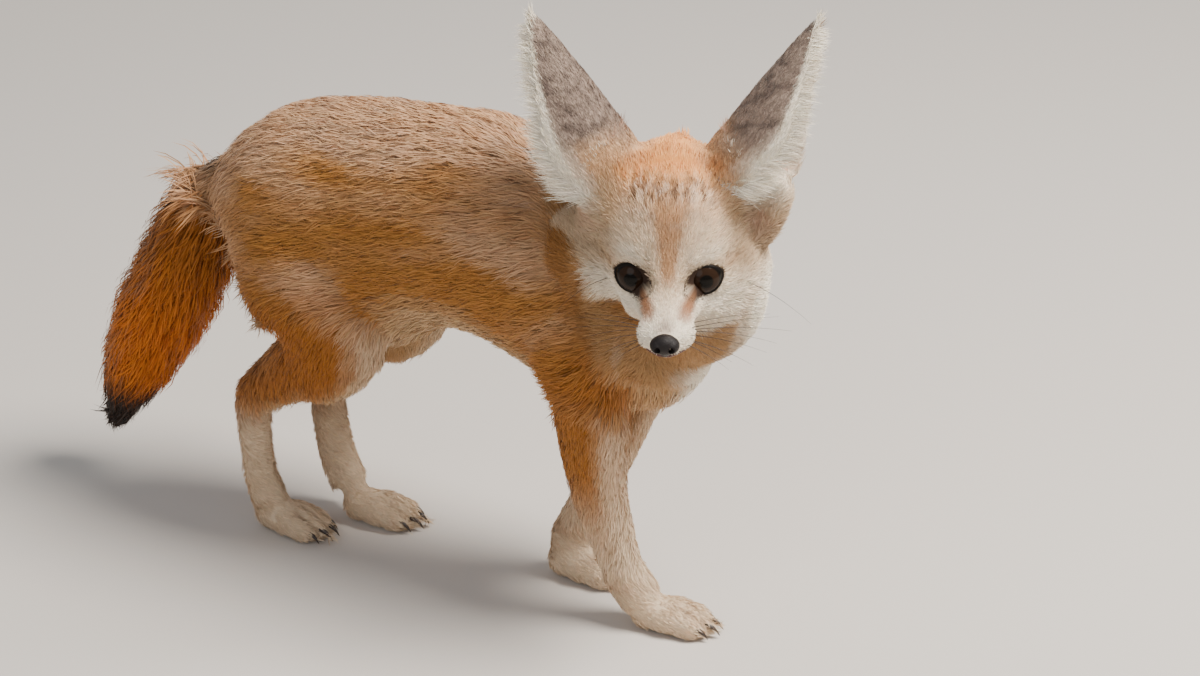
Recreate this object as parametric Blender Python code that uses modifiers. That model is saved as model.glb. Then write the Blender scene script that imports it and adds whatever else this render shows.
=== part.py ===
"""A life-size fennec fox, walking, with its head turned to its right and both ears turned out.

Metres, +Z up. The fox faces -Y, its left is +X, and it stands on z = 0. The flesh is modelled
whole from lofted forms, made one closed surface, and parted into its named pieces by thin cuts.
The head is laid out in its own frame: forward along the muzzle, left, and up, measured from the
point midway between the eyeballs.
"""

import math
import random

import bmesh
import bpy
from mathutils import Matrix, Vector

# Cuts and fits
GAP = 0.0003
FAR = 0.5
MERGE = 0.0001

# Surface fineness: the voxels and smoothing of the whole, and the margin kept round a part while
# its faces are thinned out
VOXEL = 0.0017
SMOOTH_ROUNDS = 6
MARGIN = 0.008

# Head placement
EYES_MIDDLE = Vector((-0.0400, -0.1262, 0.1905))
HEAD_TURN = math.radians(63.5)
HEAD_PITCH = math.radians(9)

# Eyes
EYE_RADIUS = 0.0090
EYE_APART = 0.0152
EYE_BACK = 0.0046
EYE_UP = 0.0010
EYE_TURN = math.radians(21)
EYE_RISE = math.radians(10)
ORBIT_BACK = 0.0040
ORBIT_SIZE = (0.0148, 0.0136, 0.0126)
LID_THICK = 0.0012
LID_OPEN_LONG = 0.0092
LID_OPEN_HIGH = 0.0068
LID_TILT = math.radians(38)

# Nose pad and mouth, in the head frame
NOSE_AT = (0.0380, 0.0, -0.0088)
NOSE_SIZE = (0.0046, 0.0062, 0.0048)
NOSTRIL_APART = 0.0031
NOSTRIL_AHEAD = 0.00368
NOSTRIL_DOWN = 0.0004
NOSTRIL_WAY = (0.75, 0.66)
NOSTRIL_SIZE = (0.0032, 0.0011, 0.0016)
MOUTH_LINE = (
    (0.0070, 0.0140, -0.0165),
    (0.0130, 0.0125, -0.0173),
    (0.0200, 0.0110, -0.0176),
    (0.0290, 0.0080, -0.0170),
    (0.0345, 0.0035, -0.0160),
    (0.0360, 0.0, -0.0156),
)
MOUTH_STEPS = 3
MOUTH_WIDE = 0.0009
MOUTH_DEEP = 0.0018
MOUTH_OVER = 0.0030

# Ears, in the head frame
EAR_BASE = (-0.038, 0.0304, 0.0278)
EAR_TIP = (-0.056, 0.0646, 0.1035)
EAR_THICK = 0.0024
EAR_ROWS = 12
EAR_COLUMNS = 14
EAR_CUT = 0.10
EAR_BOW = 0.0080
# How far each ear's opening is turned from forward to outward, in degrees, at its foot and tip
EAR_TURN_LEFT = (60, 80)
EAR_TURN_RIGHT = (88, 93)
# The fold of skin below each ear: its half sizes, how far out its middle is, and its outward lean
SKIRT_SIZE = (0.0160, 0.0090, 0.0250)
SKIRT_LEFT = (0.0410, math.radians(28))
SKIRT_RIGHT = (0.0335, math.radians(5))
SKIRT_BACK = -0.0360
SKIRT_UP = 0.0120
# The crown between the ears, in the head frame
CROWN_AT = (-0.0400, 0.0, 0.0300)
CROWN_SIZE = (0.0200, 0.0340, 0.0208)
# The solid stem below the cup: its depth as a share of the cup's, and its stations as shares of the
# ear's length, in the head and in the ear
EAR_STEM = 0.80
EAR_ROOT = (-0.34, -0.18, 0.00, 0.12, 0.20)
EAR_FLOOR = (0.02, 0.10, 0.17)
# The lowest stretch of the ear's wall, which the head carries: how much thicker it is, where it
# starts, and how far past the cut it goes, as shares of the ear's length
EAR_FOOT_THICKER = 1.5
EAR_FOOT_FROM = -0.30
EAR_FOOT_PAST = 0.06
EAR_FOOT_ROOM = (0.035, 0.035, 0.12)
EAR_CUT_ROOM = (0.032, 0.032, 0.10)

# Each trunk station: centre, half width, half height
TRUNK = (
    ((0.000, 0.1450, 0.1690), 0.012, 0.012),
    ((0.000, 0.1260, 0.1715), 0.030, 0.033),
    ((0.000, 0.0970, 0.1765), 0.043, 0.046),
    ((0.000, 0.0560, 0.1685), 0.046, 0.063),
    ((0.000, 0.0300, 0.1725), 0.047, 0.0610),
    ((0.000, 0.0080, 0.1790), 0.047, 0.0555),
    ((0.000, -0.0180, 0.1780), 0.046, 0.0560),
    ((0.000, -0.0520, 0.1650), 0.045, 0.0550),
    ((0.001, -0.0850, 0.1500), 0.042, 0.0450),
    ((0.001, -0.1080, 0.1430), 0.034, 0.0340),
    ((0.001, -0.1220, 0.1440), 0.022, 0.0220),
    ((0.001, -0.1310, 0.1480), 0.010, 0.0100),
)

NECK = (
    ((0.002, -0.0600, 0.1620), 0.038, 0.044),
    ((0.004, -0.0900, 0.1650), 0.040, 0.044),
    ((0.002, -0.1130, 0.1720), 0.038, 0.041),
    ((-0.010, -0.1240, 0.1830), 0.034, 0.036),
    ((-0.020, -0.1260, 0.1920), 0.026, 0.028),
)

# The thick coat that fills the bend of the neck: its middle and half sizes
NAPE = ((-0.0200, -0.0770, 0.1850), (0.0250, 0.0280, 0.0270))

# Forms on both sides of the face, in the head frame: the middle on the left side, and half sizes
FACE_FORMS = {
    "cheek": ((-0.0300, 0.0215, -0.0060), (0.0210, 0.0195, 0.0230)),
    "jowl": ((-0.0110, 0.0120, -0.0120), (0.0170, 0.0105, 0.0120)),
    "brow": ((-0.0060, 0.0130, 0.0075), (0.0090, 0.0105, 0.0070)),
    "whisker_pad": ((0.0250, 0.0066, -0.0112), (0.0098, 0.0070, 0.0070)),
}

# Each head station, in the head frame: forward, up, half width, half height
SKULL = (
    (-0.0600, 0.0040, 0.016, 0.018),
    (-0.0510, 0.0075, 0.028, 0.0335),
    (-0.0370, 0.0090, 0.034, 0.0385),
    (-0.0220, 0.0045, 0.033, 0.0350),
    (-0.0090, -0.0005, 0.027, 0.0270),
    (0.0020, -0.0045, 0.0190, 0.0175),
    (0.0120, -0.0080, 0.0138, 0.0118),
    (0.0230, -0.0098, 0.0112, 0.0086),
    (0.0320, -0.0106, 0.0090, 0.0072),
    (0.0375, -0.0108, 0.0060, 0.0056),
)
JAW = (
    (-0.0300, -0.0190, 0.0190, 0.0100),
    (-0.0120, -0.0195, 0.0145, 0.0078),
    (0.0040, -0.0195, 0.0105, 0.0056),
    (0.0180, -0.0194, 0.0076, 0.0044),
    (0.0280, -0.0186, 0.0052, 0.0034),
    (0.0325, -0.0180, 0.0026, 0.0020),
)

# Each tail station: centre, and the reach of its coat
TAIL = (
    ((0.000, 0.1300, 0.1800), 0.0135),
    ((0.000, 0.1415, 0.1700), 0.0155),
    ((0.000, 0.1530, 0.1530), 0.0230),
    ((0.000, 0.1670, 0.1230), 0.0275),
    ((0.000, 0.1860, 0.0875), 0.0275),
    ((0.000, 0.2005, 0.0580), 0.0225),
    ((0.000, 0.2095, 0.0380), 0.0150),
    ((0.000, 0.2150, 0.0240), 0.0030),
)

# The tail's core under its coat, as a share of the coat's reach: at its root, where it meets the
# rump, and from CORE_FROM of its length on
CORE_ROOT = 1.0
CORE_SHARE = 0.5
CORE_FROM = 0.30
TAIL_FLAT = 0.96
TAIL_STEPS = 12
# The locks of the tail's coat: their rows, how many stand round each row, and their sizes
LOCK_SEED = 11
LOCK_ROWS = 8
LOCK_ROUND = 7
LOCK_FIRST = 0.10
LOCK_LAST = 0.80
LOCK_LONG = 0.044
LOCK_WIDE = 0.0100
LOCK_THICK = 0.0017
LOCK_SUNK = 0.0025
LOCK_BEND = 0.45
# How far a lock's root strays: aside as a share of the room between two, and along the tail
LOCK_ASIDE = 0.12
LOCK_ALONG = 0.012
# A lock along its length: share of its length, of its rise, of its width and of its thickness
LOCK_FORM = (
    (0.00, 0.00, 0.60, 1.00),
    (0.30, 0.62, 1.00, 1.00),
    (0.62, 0.95, 0.80, 0.80),
    (0.85, 1.02, 0.42, 0.55),
    (1.00, 1.00, 0.00, 0.00),
)

# Each leg station: centre, half width, half depth, from the body down to the paw
FORE_RIGHT = (
    ((-0.0230, -0.0760, 0.1720), 0.0150, 0.0280),
    ((-0.0290, -0.0760, 0.1430), 0.0190, 0.0290),
    ((-0.0290, -0.0800, 0.1190), 0.0172, 0.0215),
    ((-0.0262, -0.0792, 0.0930), 0.0152, 0.0178),
    ((-0.0222, -0.0810, 0.0650), 0.0130, 0.0150),
    ((-0.0185, -0.0855, 0.0430), 0.0112, 0.0128),
    ((-0.0160, -0.0900, 0.0270), 0.0110, 0.0120),
    ((-0.0142, -0.0985, 0.0130), 0.0118, 0.0112),
)
FORE_LEFT = (
    ((0.0230, -0.0760, 0.1720), 0.0150, 0.0280),
    ((0.0290, -0.0770, 0.1430), 0.0190, 0.0290),
    ((0.0285, -0.0760, 0.1170), 0.0168, 0.0205),
    ((0.0250, -0.0680, 0.0900), 0.0148, 0.0165),
    ((0.0215, -0.0600, 0.0640), 0.0128, 0.0140),
    ((0.0180, -0.0510, 0.0380), 0.0110, 0.0112),
    ((0.0155, -0.0435, 0.0210), 0.0108, 0.0108),
    ((0.0140, -0.0430, 0.0110), 0.0112, 0.0095),
)
HIND_RIGHT = (
    ((-0.0200, 0.0980, 0.1780), 0.0200, 0.0330),
    ((-0.0270, 0.0800, 0.1520), 0.0225, 0.0385),
    ((-0.0300, 0.0640, 0.1240), 0.0200, 0.0360),
    ((-0.0305, 0.0700, 0.1060), 0.0170, 0.0265),
    ((-0.0295, 0.0815, 0.0980), 0.0140, 0.0190),
    ((-0.0280, 0.0965, 0.0870), 0.0115, 0.0145),
    ((-0.0255, 0.1095, 0.0750), 0.0095, 0.0125),
    ((-0.0240, 0.1128, 0.0630), 0.0090, 0.0096),
    ((-0.0220, 0.1131, 0.0470), 0.0085, 0.0088),
    ((-0.0200, 0.1128, 0.0300), 0.0087, 0.0092),
    ((-0.0180, 0.1090, 0.0160), 0.0098, 0.0105),
)
HIND_LEFT = (
    ((0.0200, 0.0980, 0.1780), 0.0200, 0.0330),
    ((0.0270, 0.0780, 0.1520), 0.0225, 0.0385),
    ((0.0295, 0.0620, 0.1240), 0.0200, 0.0360),
    ((0.0290, 0.0660, 0.1050), 0.0165, 0.0255),
    ((0.0275, 0.0790, 0.0960), 0.0135, 0.0180),
    ((0.0255, 0.0920, 0.0850), 0.0115, 0.0140),
    ((0.0235, 0.1010, 0.0720), 0.0098, 0.0122),
    ((0.0222, 0.1005, 0.0580), 0.0092, 0.0100),
    ((0.0205, 0.0975, 0.0430), 0.0090, 0.0100),
    ((0.0185, 0.0920, 0.0270), 0.0092, 0.0108),
    ((0.0170, 0.0850, 0.0150), 0.0100, 0.0112),
)

# Each paw: where its middle stands, and which way it points, in degrees to the fox's left of ahead
PAWS = {
    "forepaw_right": ((-0.0115, -0.1140), 14),
    "forepaw_left": ((0.0135, -0.0540), 4),
    "hindfoot_right": ((-0.0155, 0.0965), 2),
    "hindfoot_left": ((0.0155, 0.0650), 8),
}
PAW_LONG = 0.0165
PAW_WIDE = 0.0128
PAW_HIGH = 0.0098
HEEL_BACK = 0.0120
HEEL_SIZE = 0.0102
TOE_LONG = 0.0082
TOE_WIDE = 0.0046
TOE_HIGH = 0.0066
TOES = ((-0.0088, 0.0085), (-0.0032, 0.0128), (0.0032, 0.0128), (0.0088, 0.0085))
# A claw: how high its root is, and each station's share of its reach ahead, drop and radius
CLAW_LONG = 0.0065
CLAW_UP = 0.0062
CLAW_FORM = ((0.0, 0.0, 0.0013), (0.6, 0.00208, 0.0010), (1.0, 0.0048, 0.0003))

# The cuts that part the flesh. Each keeps what lies in a box: the middle of its cut face, the way
# in from that face, and how far it reaches across, along and down.
HEAD_CUT = ((-0.0140, -0.0700, 0.1950), (-0.35, -0.75, 0.56))
NECK_CUT = ((0.0, -0.0680, 0.1700), (0.0, -0.85, 0.53))
TAIL_CUT = ((0.0, 0.1480, 0.1640), (0.0, 0.50, -0.866))
TAIL_CUT_REACH = (0.030, 0.0270, 0.07)
LEG_CUTS = {
    "foreleg_right": ((-0.0320, -0.0850, 0.1130), (-0.45, 0.0, -0.89), (0.032, 0.060, 0.14)),
    "foreleg_left": ((0.0320, -0.0700, 0.1130), (0.45, 0.0, -0.89), (0.032, 0.060, 0.14)),
    "hindleg_right": ((-0.0330, 0.0810, 0.1290), (-0.45, 0.0, -0.89), (0.033, 0.054, 0.16)),
    "hindleg_left": ((0.0330, 0.0790, 0.1290), (0.45, 0.0, -0.89), (0.033, 0.054, 0.16)),
}
PAW_CUTS = {
    "forepaw_right": ((-0.0200, -0.1060, 0.0290), (0.0, -0.25, -1.0), (0.026, 0.044, 0.05)),
    "forepaw_left": ((0.0200, -0.0500, 0.0270), (0.0, 0.10, -1.0), (0.026, 0.040, 0.05)),
    "hindfoot_right": ((-0.0300, 0.0960, 0.0640), (0.0, 0.10, -1.0), (0.029, 0.050, 0.08)),
    "hindfoot_left": ((0.0300, 0.0780, 0.0600), (0.0, -0.15, -1.0), (0.029, 0.050, 0.08)),
}

# How many triangles each part is thinned to before it is cut
TRIANGLES = {
    "head": 3000,
    "neck": 1600,
    "torso": 3200,
    "foreleg": 420,
    "hindleg": 640,
    "forepaw": 380,
    "hindfoot": 450,
}

COLOURS = {
    "sand_coat": (0.55, 0.34, 0.19, 1),
    "rust_coat": (0.50, 0.17, 0.04, 1),
    "cream_coat": (0.76, 0.68, 0.56, 1),
    "ear_skin": (0.40, 0.32, 0.27, 1),
    "nose_skin": (0.02, 0.016, 0.015, 1),
    "eye_glass": (0.03, 0.018, 0.010, 1),
}
ROUGHNESS = {
    "sand_coat": 0.9,
    "rust_coat": 0.9,
    "cream_coat": 0.9,
    "ear_skin": 0.85,
    "nose_skin": 0.45,
    "eye_glass": 0.05,
}
FINISHES = {
    "head": "sand_coat",
    "neck": "sand_coat",
    "torso": "sand_coat",
    "tail": "rust_coat",
    "foreleg": "sand_coat",
    "hindleg": "sand_coat",
    "forepaw": "cream_coat",
    "hindfoot": "cream_coat",
    "ear": "ear_skin",
    "nose": "nose_skin",
    "eye": "eye_glass",
}


def clear_scene():
    """Start from an empty scene, with a collection for the fox and one for its cutters."""
    for obj in list(bpy.data.objects):
        bpy.data.objects.remove(obj, do_unlink=True)
    made = []
    for name in ("fennec_fox", "cutters"):
        collection = bpy.data.collections.new(name)
        bpy.context.scene.collection.children.link(collection)
        made.append(collection)
    made[1].hide_render = True
    return made


def material(name):
    """One plain principled material for each coat colour."""
    found = bpy.data.materials.get(name)
    if found is None:
        found = bpy.data.materials.new(name)
        found.use_nodes = True
        shader = found.node_tree.nodes["Principled BSDF"]
        shader.inputs["Base Color"].default_value = COLOURS[name]
        shader.inputs["Roughness"].default_value = ROUGHNESS[name]
        shader.inputs["Metallic"].default_value = 0.0
    return found


def head_axes():
    """Forward, left and up of the head, in the fox's frame."""
    flat = Vector((-math.sin(HEAD_TURN), -math.cos(HEAD_TURN), 0))
    left = Vector((0, 0, 1)).cross(flat)
    forward = Matrix.Rotation(HEAD_PITCH, 3, left) @ flat
    return forward, left, forward.cross(left)


FORWARD, LEFTWARD, UPWARD = head_axes()


def on_head(forward, left, up):
    """A point given in the head frame, in the fox's frame."""
    return EYES_MIDDLE + FORWARD * forward + LEFTWARD * left + UPWARD * up


def head_direction(forward, left, up):
    return (FORWARD * forward + LEFTWARD * left + UPWARD * up).normalized()


def new_object(name, bm, collection):
    """Turn a bmesh into a named object in the collection."""
    mesh = bpy.data.meshes.new(name)
    bm.to_mesh(mesh)
    bm.free()
    obj = bpy.data.objects.new(name, mesh)
    collection.objects.link(obj)
    return obj


def between(a, b, c, d, t):
    """Catmull-Rom interpolation from b to c, for numbers and for vectors."""
    return (
        b * 2
        + (c - a) * t
        + (a * 2 - b * 5 + c * 4 - d) * (t * t)
        + (b * 3 - a - c * 3 + d) * (t * t * t)
    ) * 0.5


def refined(stations, steps):
    """Stations of (centre, width, height) with steps - 1 new ones blended into each span."""
    rows = [(Vector(centre), width, height) for centre, width, height in stations]
    out = []
    for i in range(len(rows) - 1):
        four = [rows[max(0, i - 1)], rows[i], rows[i + 1], rows[min(len(rows) - 1, i + 2)]]
        for step in range(steps):
            t = step / steps
            out.append(tuple(between(*(row[k] for row in four), t) for k in range(3)))
    out.append(rows[-1])
    return out


def loft(name, stations, across, collection, sides=20, steps=3, heading=None):
    """A closed body through elliptical sections, whose width lies along the across direction.

    The sections are square to the path, or to the heading where one is given.
    """
    rows = refined(stations, steps)
    bm = bmesh.new()
    rings = []
    for i, (centre, width, height) in enumerate(rows):
        along = heading or (rows[min(i + 1, len(rows) - 1)][0] - rows[max(i - 1, 0)][0]).normalized()
        side = (across - along * across.dot(along)).normalized()
        rise = along.cross(side)
        ring = []
        for k in range(sides):
            angle = 2 * math.pi * k / sides
            offset = side * (math.cos(angle) * width) + rise * (math.sin(angle) * height)
            ring.append(bm.verts.new(centre + offset))
        rings.append(ring)
    for low, high in zip(rings, rings[1:]):
        for k in range(sides):
            bm.faces.new((low[k], low[(k + 1) % sides], high[(k + 1) % sides], high[k]))
    bm.faces.new(rings[0])
    bm.faces.new(rings[-1])
    bmesh.ops.recalc_face_normals(bm, faces=bm.faces)
    return new_object(name, bm, collection)


def ellipsoid(name, centre, radii, axes, collection, segments=16):
    """A sphere stretched to three radii along three axes."""
    bm = bmesh.new()
    bmesh.ops.create_uvsphere(bm, u_segments=segments, v_segments=segments // 2, radius=1)
    place = Matrix.Identity(4)
    for column, (axis, radius) in enumerate(zip(axes, radii)):
        for row in range(3):
            place[row][column] = axis[row] * radius
    bm.transform(Matrix.Translation(centre) @ place)
    return new_object(name, bm, collection)


def box(name, centre, axes, halves, collection):
    """A box given by its centre, its three axes and its half sizes."""
    bm = bmesh.new()
    bmesh.ops.create_cube(bm, size=2)
    place = Matrix.Identity(4)
    for column, (axis, half) in enumerate(zip(axes, halves)):
        for row in range(3):
            place[row][column] = axis[row] * half
    bm.transform(Matrix.Translation(centre) @ place)
    return new_object(name, bm, collection)


def bake(obj):
    """Replace the object's mesh with what its modifiers make of it."""
    bpy.context.view_layer.update()
    graph = bpy.context.evaluated_depsgraph_get()
    mesh = bpy.data.meshes.new_from_object(obj.evaluated_get(graph))
    obj.modifiers.clear()
    old = obj.data
    obj.data = mesh
    bpy.data.meshes.remove(old)
    return obj


def keep_largest(obj):
    """Drop every loose surface but the one that encloses the most."""
    bm = bmesh.new()
    bm.from_mesh(obj.data)
    bm.faces.ensure_lookup_table()
    left = set(bm.faces)
    shells = []
    while left:
        todo = [left.pop()]
        shell = set(todo)
        while todo:
            for edge in todo.pop().edges:
                for face in edge.link_faces:
                    if face in left:
                        left.remove(face)
                        shell.add(face)
                        todo.append(face)
        shells.append(shell)

    def reach(shell):
        places = [vert.co for face in shell for vert in face.verts]
        return sum(max(p[k] for p in places) - min(p[k] for p in places) for k in range(3))

    best = max(shells, key=reach)
    drop = [face for shell in shells if shell is not best for face in shell]
    if drop:
        bmesh.ops.delete(bm, geom=drop, context="FACES")
        bm.to_mesh(obj.data)
    bm.free()
    return obj


def combined(obj, operation, others, solver="MANIFOLD"):
    """Union, difference or intersection with other closed meshes, applied at once."""
    for other in others:
        cut = obj.modifiers.new(operation.lower(), "BOOLEAN")
        cut.operation = operation
        cut.solver = solver
        cut.object = other
    bake(obj)
    for other in others:
        bpy.data.objects.remove(other)
    return obj


def duplicate(obj, name, collection):
    made = bpy.data.objects.new(name, obj.data.copy())
    collection.objects.link(made)
    return made


def one_surface(name, pieces, collection):
    """Make overlapping closed forms one smooth closed surface."""
    bm = bmesh.new()
    for piece in pieces:
        bm.from_mesh(piece.data)
        bpy.data.objects.remove(piece)
    obj = new_object(name, bm, collection)
    voxels = obj.modifiers.new("voxels", "REMESH")
    voxels.mode = "VOXEL"
    voxels.voxel_size = VOXEL
    smooth = obj.modifiers.new("smooth", "SMOOTH")
    smooth.factor = 0.5
    smooth.iterations = SMOOTH_ROUNDS
    return keep_largest(bake(obj))


def tidied(obj):
    """Merge corners that a cut has left side by side, and make every face a triangle."""
    bm = bmesh.new()
    bm.from_mesh(obj.data)
    bmesh.ops.remove_doubles(bm, verts=bm.verts, dist=MERGE)
    bmesh.ops.triangulate(bm, faces=bm.faces)
    bm.to_mesh(obj.data)
    bm.free()
    return obj


def thinned(obj, triangles):
    """Bring the form down to about so many triangles."""
    tidied(obj)
    now = len(obj.data.polygons)
    if now > triangles:
        fewer = obj.modifiers.new("fewer", "DECIMATE")
        fewer.ratio = triangles / now
        fewer.use_collapse_triangulate = True
        bake(obj)
    return keep_largest(obj)


class Knife:
    """A box that takes one part out of the flesh. Its sides run down from a slanted cut face."""

    def __init__(self, face, inward, reach=(FAR, FAR, FAR), down=None):
        self.face = Vector(face)
        self.inward = Vector(inward).normalized()
        self.down = down or self.inward
        level = Vector((0, 1, 0)) if abs(self.inward.y) < 0.6 else Vector((1, 0, 0))
        self.along = (level - self.inward * level.dot(self.inward)).normalized()
        self.across = self.along.cross(self.inward)
        self.reach = reach

    def box(self, name, grow, collection):
        """The box, with every face moved outward by grow."""
        across, along, depth = self.reach
        middle = self.face + self.down * (depth / 2)
        halves = (across + grow, along + grow, depth / 2 + grow / self.down.dot(self.inward))
        return box(name, middle, (self.across, self.along, self.down), halves, collection)


def part_of(flesh, name, triangles, keep, leave, collection, cutters):
    """The part of the flesh inside one knife's box and outside the others, with fewer faces."""
    obj = duplicate(flesh, name, collection)
    if keep:
        combined(obj, "INTERSECT", [keep.box("rough", MARGIN, cutters)])
        keep_largest(obj)
    thinned(obj, triangles)
    if keep:
        combined(obj, "INTERSECT", [keep.box("keep", 0, cutters)])
    combined(obj, "DIFFERENCE", [knife.box("leave", GAP, cutters) for knife in leave])
    return keep_largest(obj)


def skull_forms(collection):
    """The head without ears or eyes: braincase, muzzle, cheeks, brows and the roots of the ears."""
    pieces = []
    for name, rows in (("skull", SKULL), ("jaw", JAW)):
        stations = [(on_head(f, 0, u), w, h) for f, u, w, h in rows]
        pieces.append(loft(name, stations, LEFTWARD, collection))
    axes = (FORWARD, LEFTWARD, UPWARD)
    pieces.append(ellipsoid("crown", on_head(*CROWN_AT), CROWN_SIZE, axes, collection))
    for side in (-1, 1):
        for name, ((ahead, aside, above), size) in FACE_FORMS.items():
            place = on_head(ahead, side * aside, above)
            pieces.append(ellipsoid(name, place, size, axes, collection))
        orbit = eye_place(side) - eye_axis(side) * ORBIT_BACK
        pieces.append(ellipsoid("orbit", orbit, ORBIT_SIZE, eye_axes(side), collection))
        out, lean = SKIRT_LEFT if side > 0 else SKIRT_RIGHT
        turn = Matrix.Rotation(side * lean, 3, -FORWARD)
        skirt = on_head(SKIRT_BACK, side * out, SKIRT_UP)
        leaning = (FORWARD, turn @ LEFTWARD, turn @ UPWARD)
        pieces.append(ellipsoid("skirt", skirt, SKIRT_SIZE, leaning, collection))
        pieces.append(EarShape(side).root("ear_root", EAR_ROOT, EAR_STEM, collection))
        pieces.append(ear_foot(side, collection))
    return pieces


class EarShape:
    """One ear: a leaf rolled into a cup, in the head frame. side is -1 for the fox's right ear."""

    # Share of the length, half width, depth of the cup, and half the angle that its wall spans
    SECTIONS = (
        (-0.34, 0.0150, 0.0140, 118),
        (-0.18, 0.0205, 0.0185, 118),
        (0.00, 0.0235, 0.0245, 120),
        (0.16, 0.0245, 0.0250, 115),
        (0.36, 0.0242, 0.0240, 104),
        (0.56, 0.0207, 0.0205, 94),
        (0.76, 0.0143, 0.0141, 88),
        (0.90, 0.0083, 0.0078, 84),
        (1.00, 0.0022, 0.0018, 80),
    )

    def __init__(self, side):
        self.side = side
        self.base = on_head(EAR_BASE[0], side * EAR_BASE[1], EAR_BASE[2])
        self.tip = on_head(EAR_TIP[0], side * EAR_TIP[1], EAR_TIP[2])
        self.axis = (self.tip - self.base).normalized()
        self.turns = EAR_TURN_LEFT if side > 0 else EAR_TURN_RIGHT

    def section(self, t):
        """Half width, depth and half span at share t of the ear's length."""
        rows = self.SECTIONS
        i = max(k for k in range(len(rows) - 1) if k == 0 or rows[k][0] <= t)
        four = [rows[max(0, i - 1)], rows[i], rows[i + 1], rows[min(len(rows) - 1, i + 2)]]
        share = min(1, max(0, (t - rows[i][0]) / (rows[i + 1][0] - rows[i][0])))
        width, depth, span = (between(*(row[k] for row in four), share) for k in (1, 2, 3))
        return max(0.0007, width), max(0.0006, depth), math.radians(span)

    def opening(self, t):
        """The way that the cup faces at share t, square to the ear's axis."""
        low, high = self.turns
        blend = min(1, max(0, t / 0.45))
        turn = math.radians(low + (high - low) * blend * blend * (3 - 2 * blend))
        facing = head_direction(math.cos(turn), self.side * math.sin(turn), 0)
        return (facing - self.axis * facing.dot(self.axis)).normalized()

    def across(self, t):
        """The way from the cup's rear rim to its front rim."""
        return self.axis.cross(self.opening(t)) * -self.side

    def centre(self, t):
        """The middle of the section at share t of the length, on a line bowed outward."""
        bow = 4 * t * (1 - t) if 0 < t < 1 else 0
        return self.base.lerp(self.tip, t) + self.opening(1) * (EAR_BOW * bow)

    def skin(self, t, share):
        """A point on the ear: share runs from -1 at the rear rim to 1 at the front rim."""
        width, depth, span = self.section(t)
        angle = share * span
        inward = self.opening(t) * (-depth * math.cos(angle))
        return self.centre(t) + inward + self.across(t) * (width * math.sin(angle))

    def root(self, name, shares, swell, collection, steps=2):
        """A solid stem inside the ear's own section, set toward its back, from share to share."""
        stations = []
        for t in shares:
            width, depth, span = self.section(t)
            middle = self.centre(t) - self.opening(t) * (depth * (0.97 - swell))
            stations.append((middle, width * 0.95, depth * swell))
        return loft(name, stations, self.across(0), collection, sides=24, steps=steps)


def ear_wall(name, side, start, collection, thick=EAR_THICK):
    """The wall of an ear from share start of its length to its tip: a curved sheet made thick."""
    shape = EarShape(side)
    bm = bmesh.new()
    grid = []
    for i in range(EAR_ROWS + 1):
        t = start + (1 - start) * (i / EAR_ROWS) ** 0.9
        row = [shape.skin(t, 2 * k / EAR_COLUMNS - 1) for k in range(EAR_COLUMNS + 1)]
        grid.append([bm.verts.new(place) for place in row])
    for low, high in zip(grid, grid[1:]):
        for k in range(EAR_COLUMNS):
            bm.faces.new((low[k], low[k + 1], high[k + 1], high[k]))
    bmesh.ops.recalc_face_normals(bm, faces=bm.faces)
    bm.faces.ensure_lookup_table()
    middle = bm.faces[(EAR_ROWS // 2) * EAR_COLUMNS + EAR_COLUMNS // 2]
    if middle.normal.dot(shape.opening(0.5)) > 0:
        bmesh.ops.reverse_faces(bm, faces=bm.faces)
    obj = new_object(name, bm, collection)
    wall = obj.modifiers.new("wall", "SOLIDIFY")
    wall.thickness = thick
    wall.offset = -1
    return bake(obj)


def ear_foot(side, collection):
    """The lowest stretch of an ear's wall, thicker, which the head carries."""
    shape = EarShape(side)
    wall = ear_wall("ear_foot", side, EAR_FOOT_FROM, collection, EAR_THICK * EAR_FOOT_THICKER)
    upper = Knife(shape.centre(EAR_CUT + EAR_FOOT_PAST), shape.axis, EAR_FOOT_ROOM)
    return combined(wall, "DIFFERENCE", [upper.box("upper", 0, collection)])


def ear_knife(side):
    """The cut that parts an ear from the head."""
    shape = EarShape(side)
    return Knife(shape.centre(EAR_CUT), shape.axis, EAR_CUT_ROOM)


def ear(name, side, collection, cutters):
    """One ear: its wall, and the floor of its cup, above the cut at its foot."""
    shape = EarShape(side)
    obj = ear_wall(name, side, EAR_CUT - EAR_FOOT_PAST, collection)
    combined(obj, "UNION", [shape.root("floor", EAR_FLOOR, EAR_STEM, collection)])
    combined(obj, "INTERSECT", [ear_knife(side).box("ear_cut", 0, cutters)])
    return keep_largest(obj)


def paw_forms(name, collection):
    """A paw: its pad, four toes side by side and their claws."""
    (x, y), turn = PAWS[name]
    ahead = Vector((math.sin(math.radians(turn)), -math.cos(math.radians(turn)), 0))
    left = Vector((0, 0, 1)).cross(ahead)
    up = Vector((0, 0, 1))
    ground = Vector((x, y, 0))
    axes = (ahead, left, up)
    pad = ground + up * (PAW_HIGH * 0.72)
    pieces = [ellipsoid(name, pad, (PAW_LONG, PAW_WIDE, PAW_HIGH), axes, collection)]
    heel = ground - ahead * HEEL_BACK + up * (HEEL_SIZE * 0.8)
    pieces.append(ellipsoid("heel", heel, (HEEL_SIZE, HEEL_SIZE, HEEL_SIZE), axes, collection))
    for aside, forward in TOES:
        toe = ground + ahead * forward + left * aside + up * (TOE_HIGH * 0.78)
        pieces.append(ellipsoid("toe", toe, (TOE_LONG, TOE_WIDE, TOE_HIGH), axes, collection))
    return pieces


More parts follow.
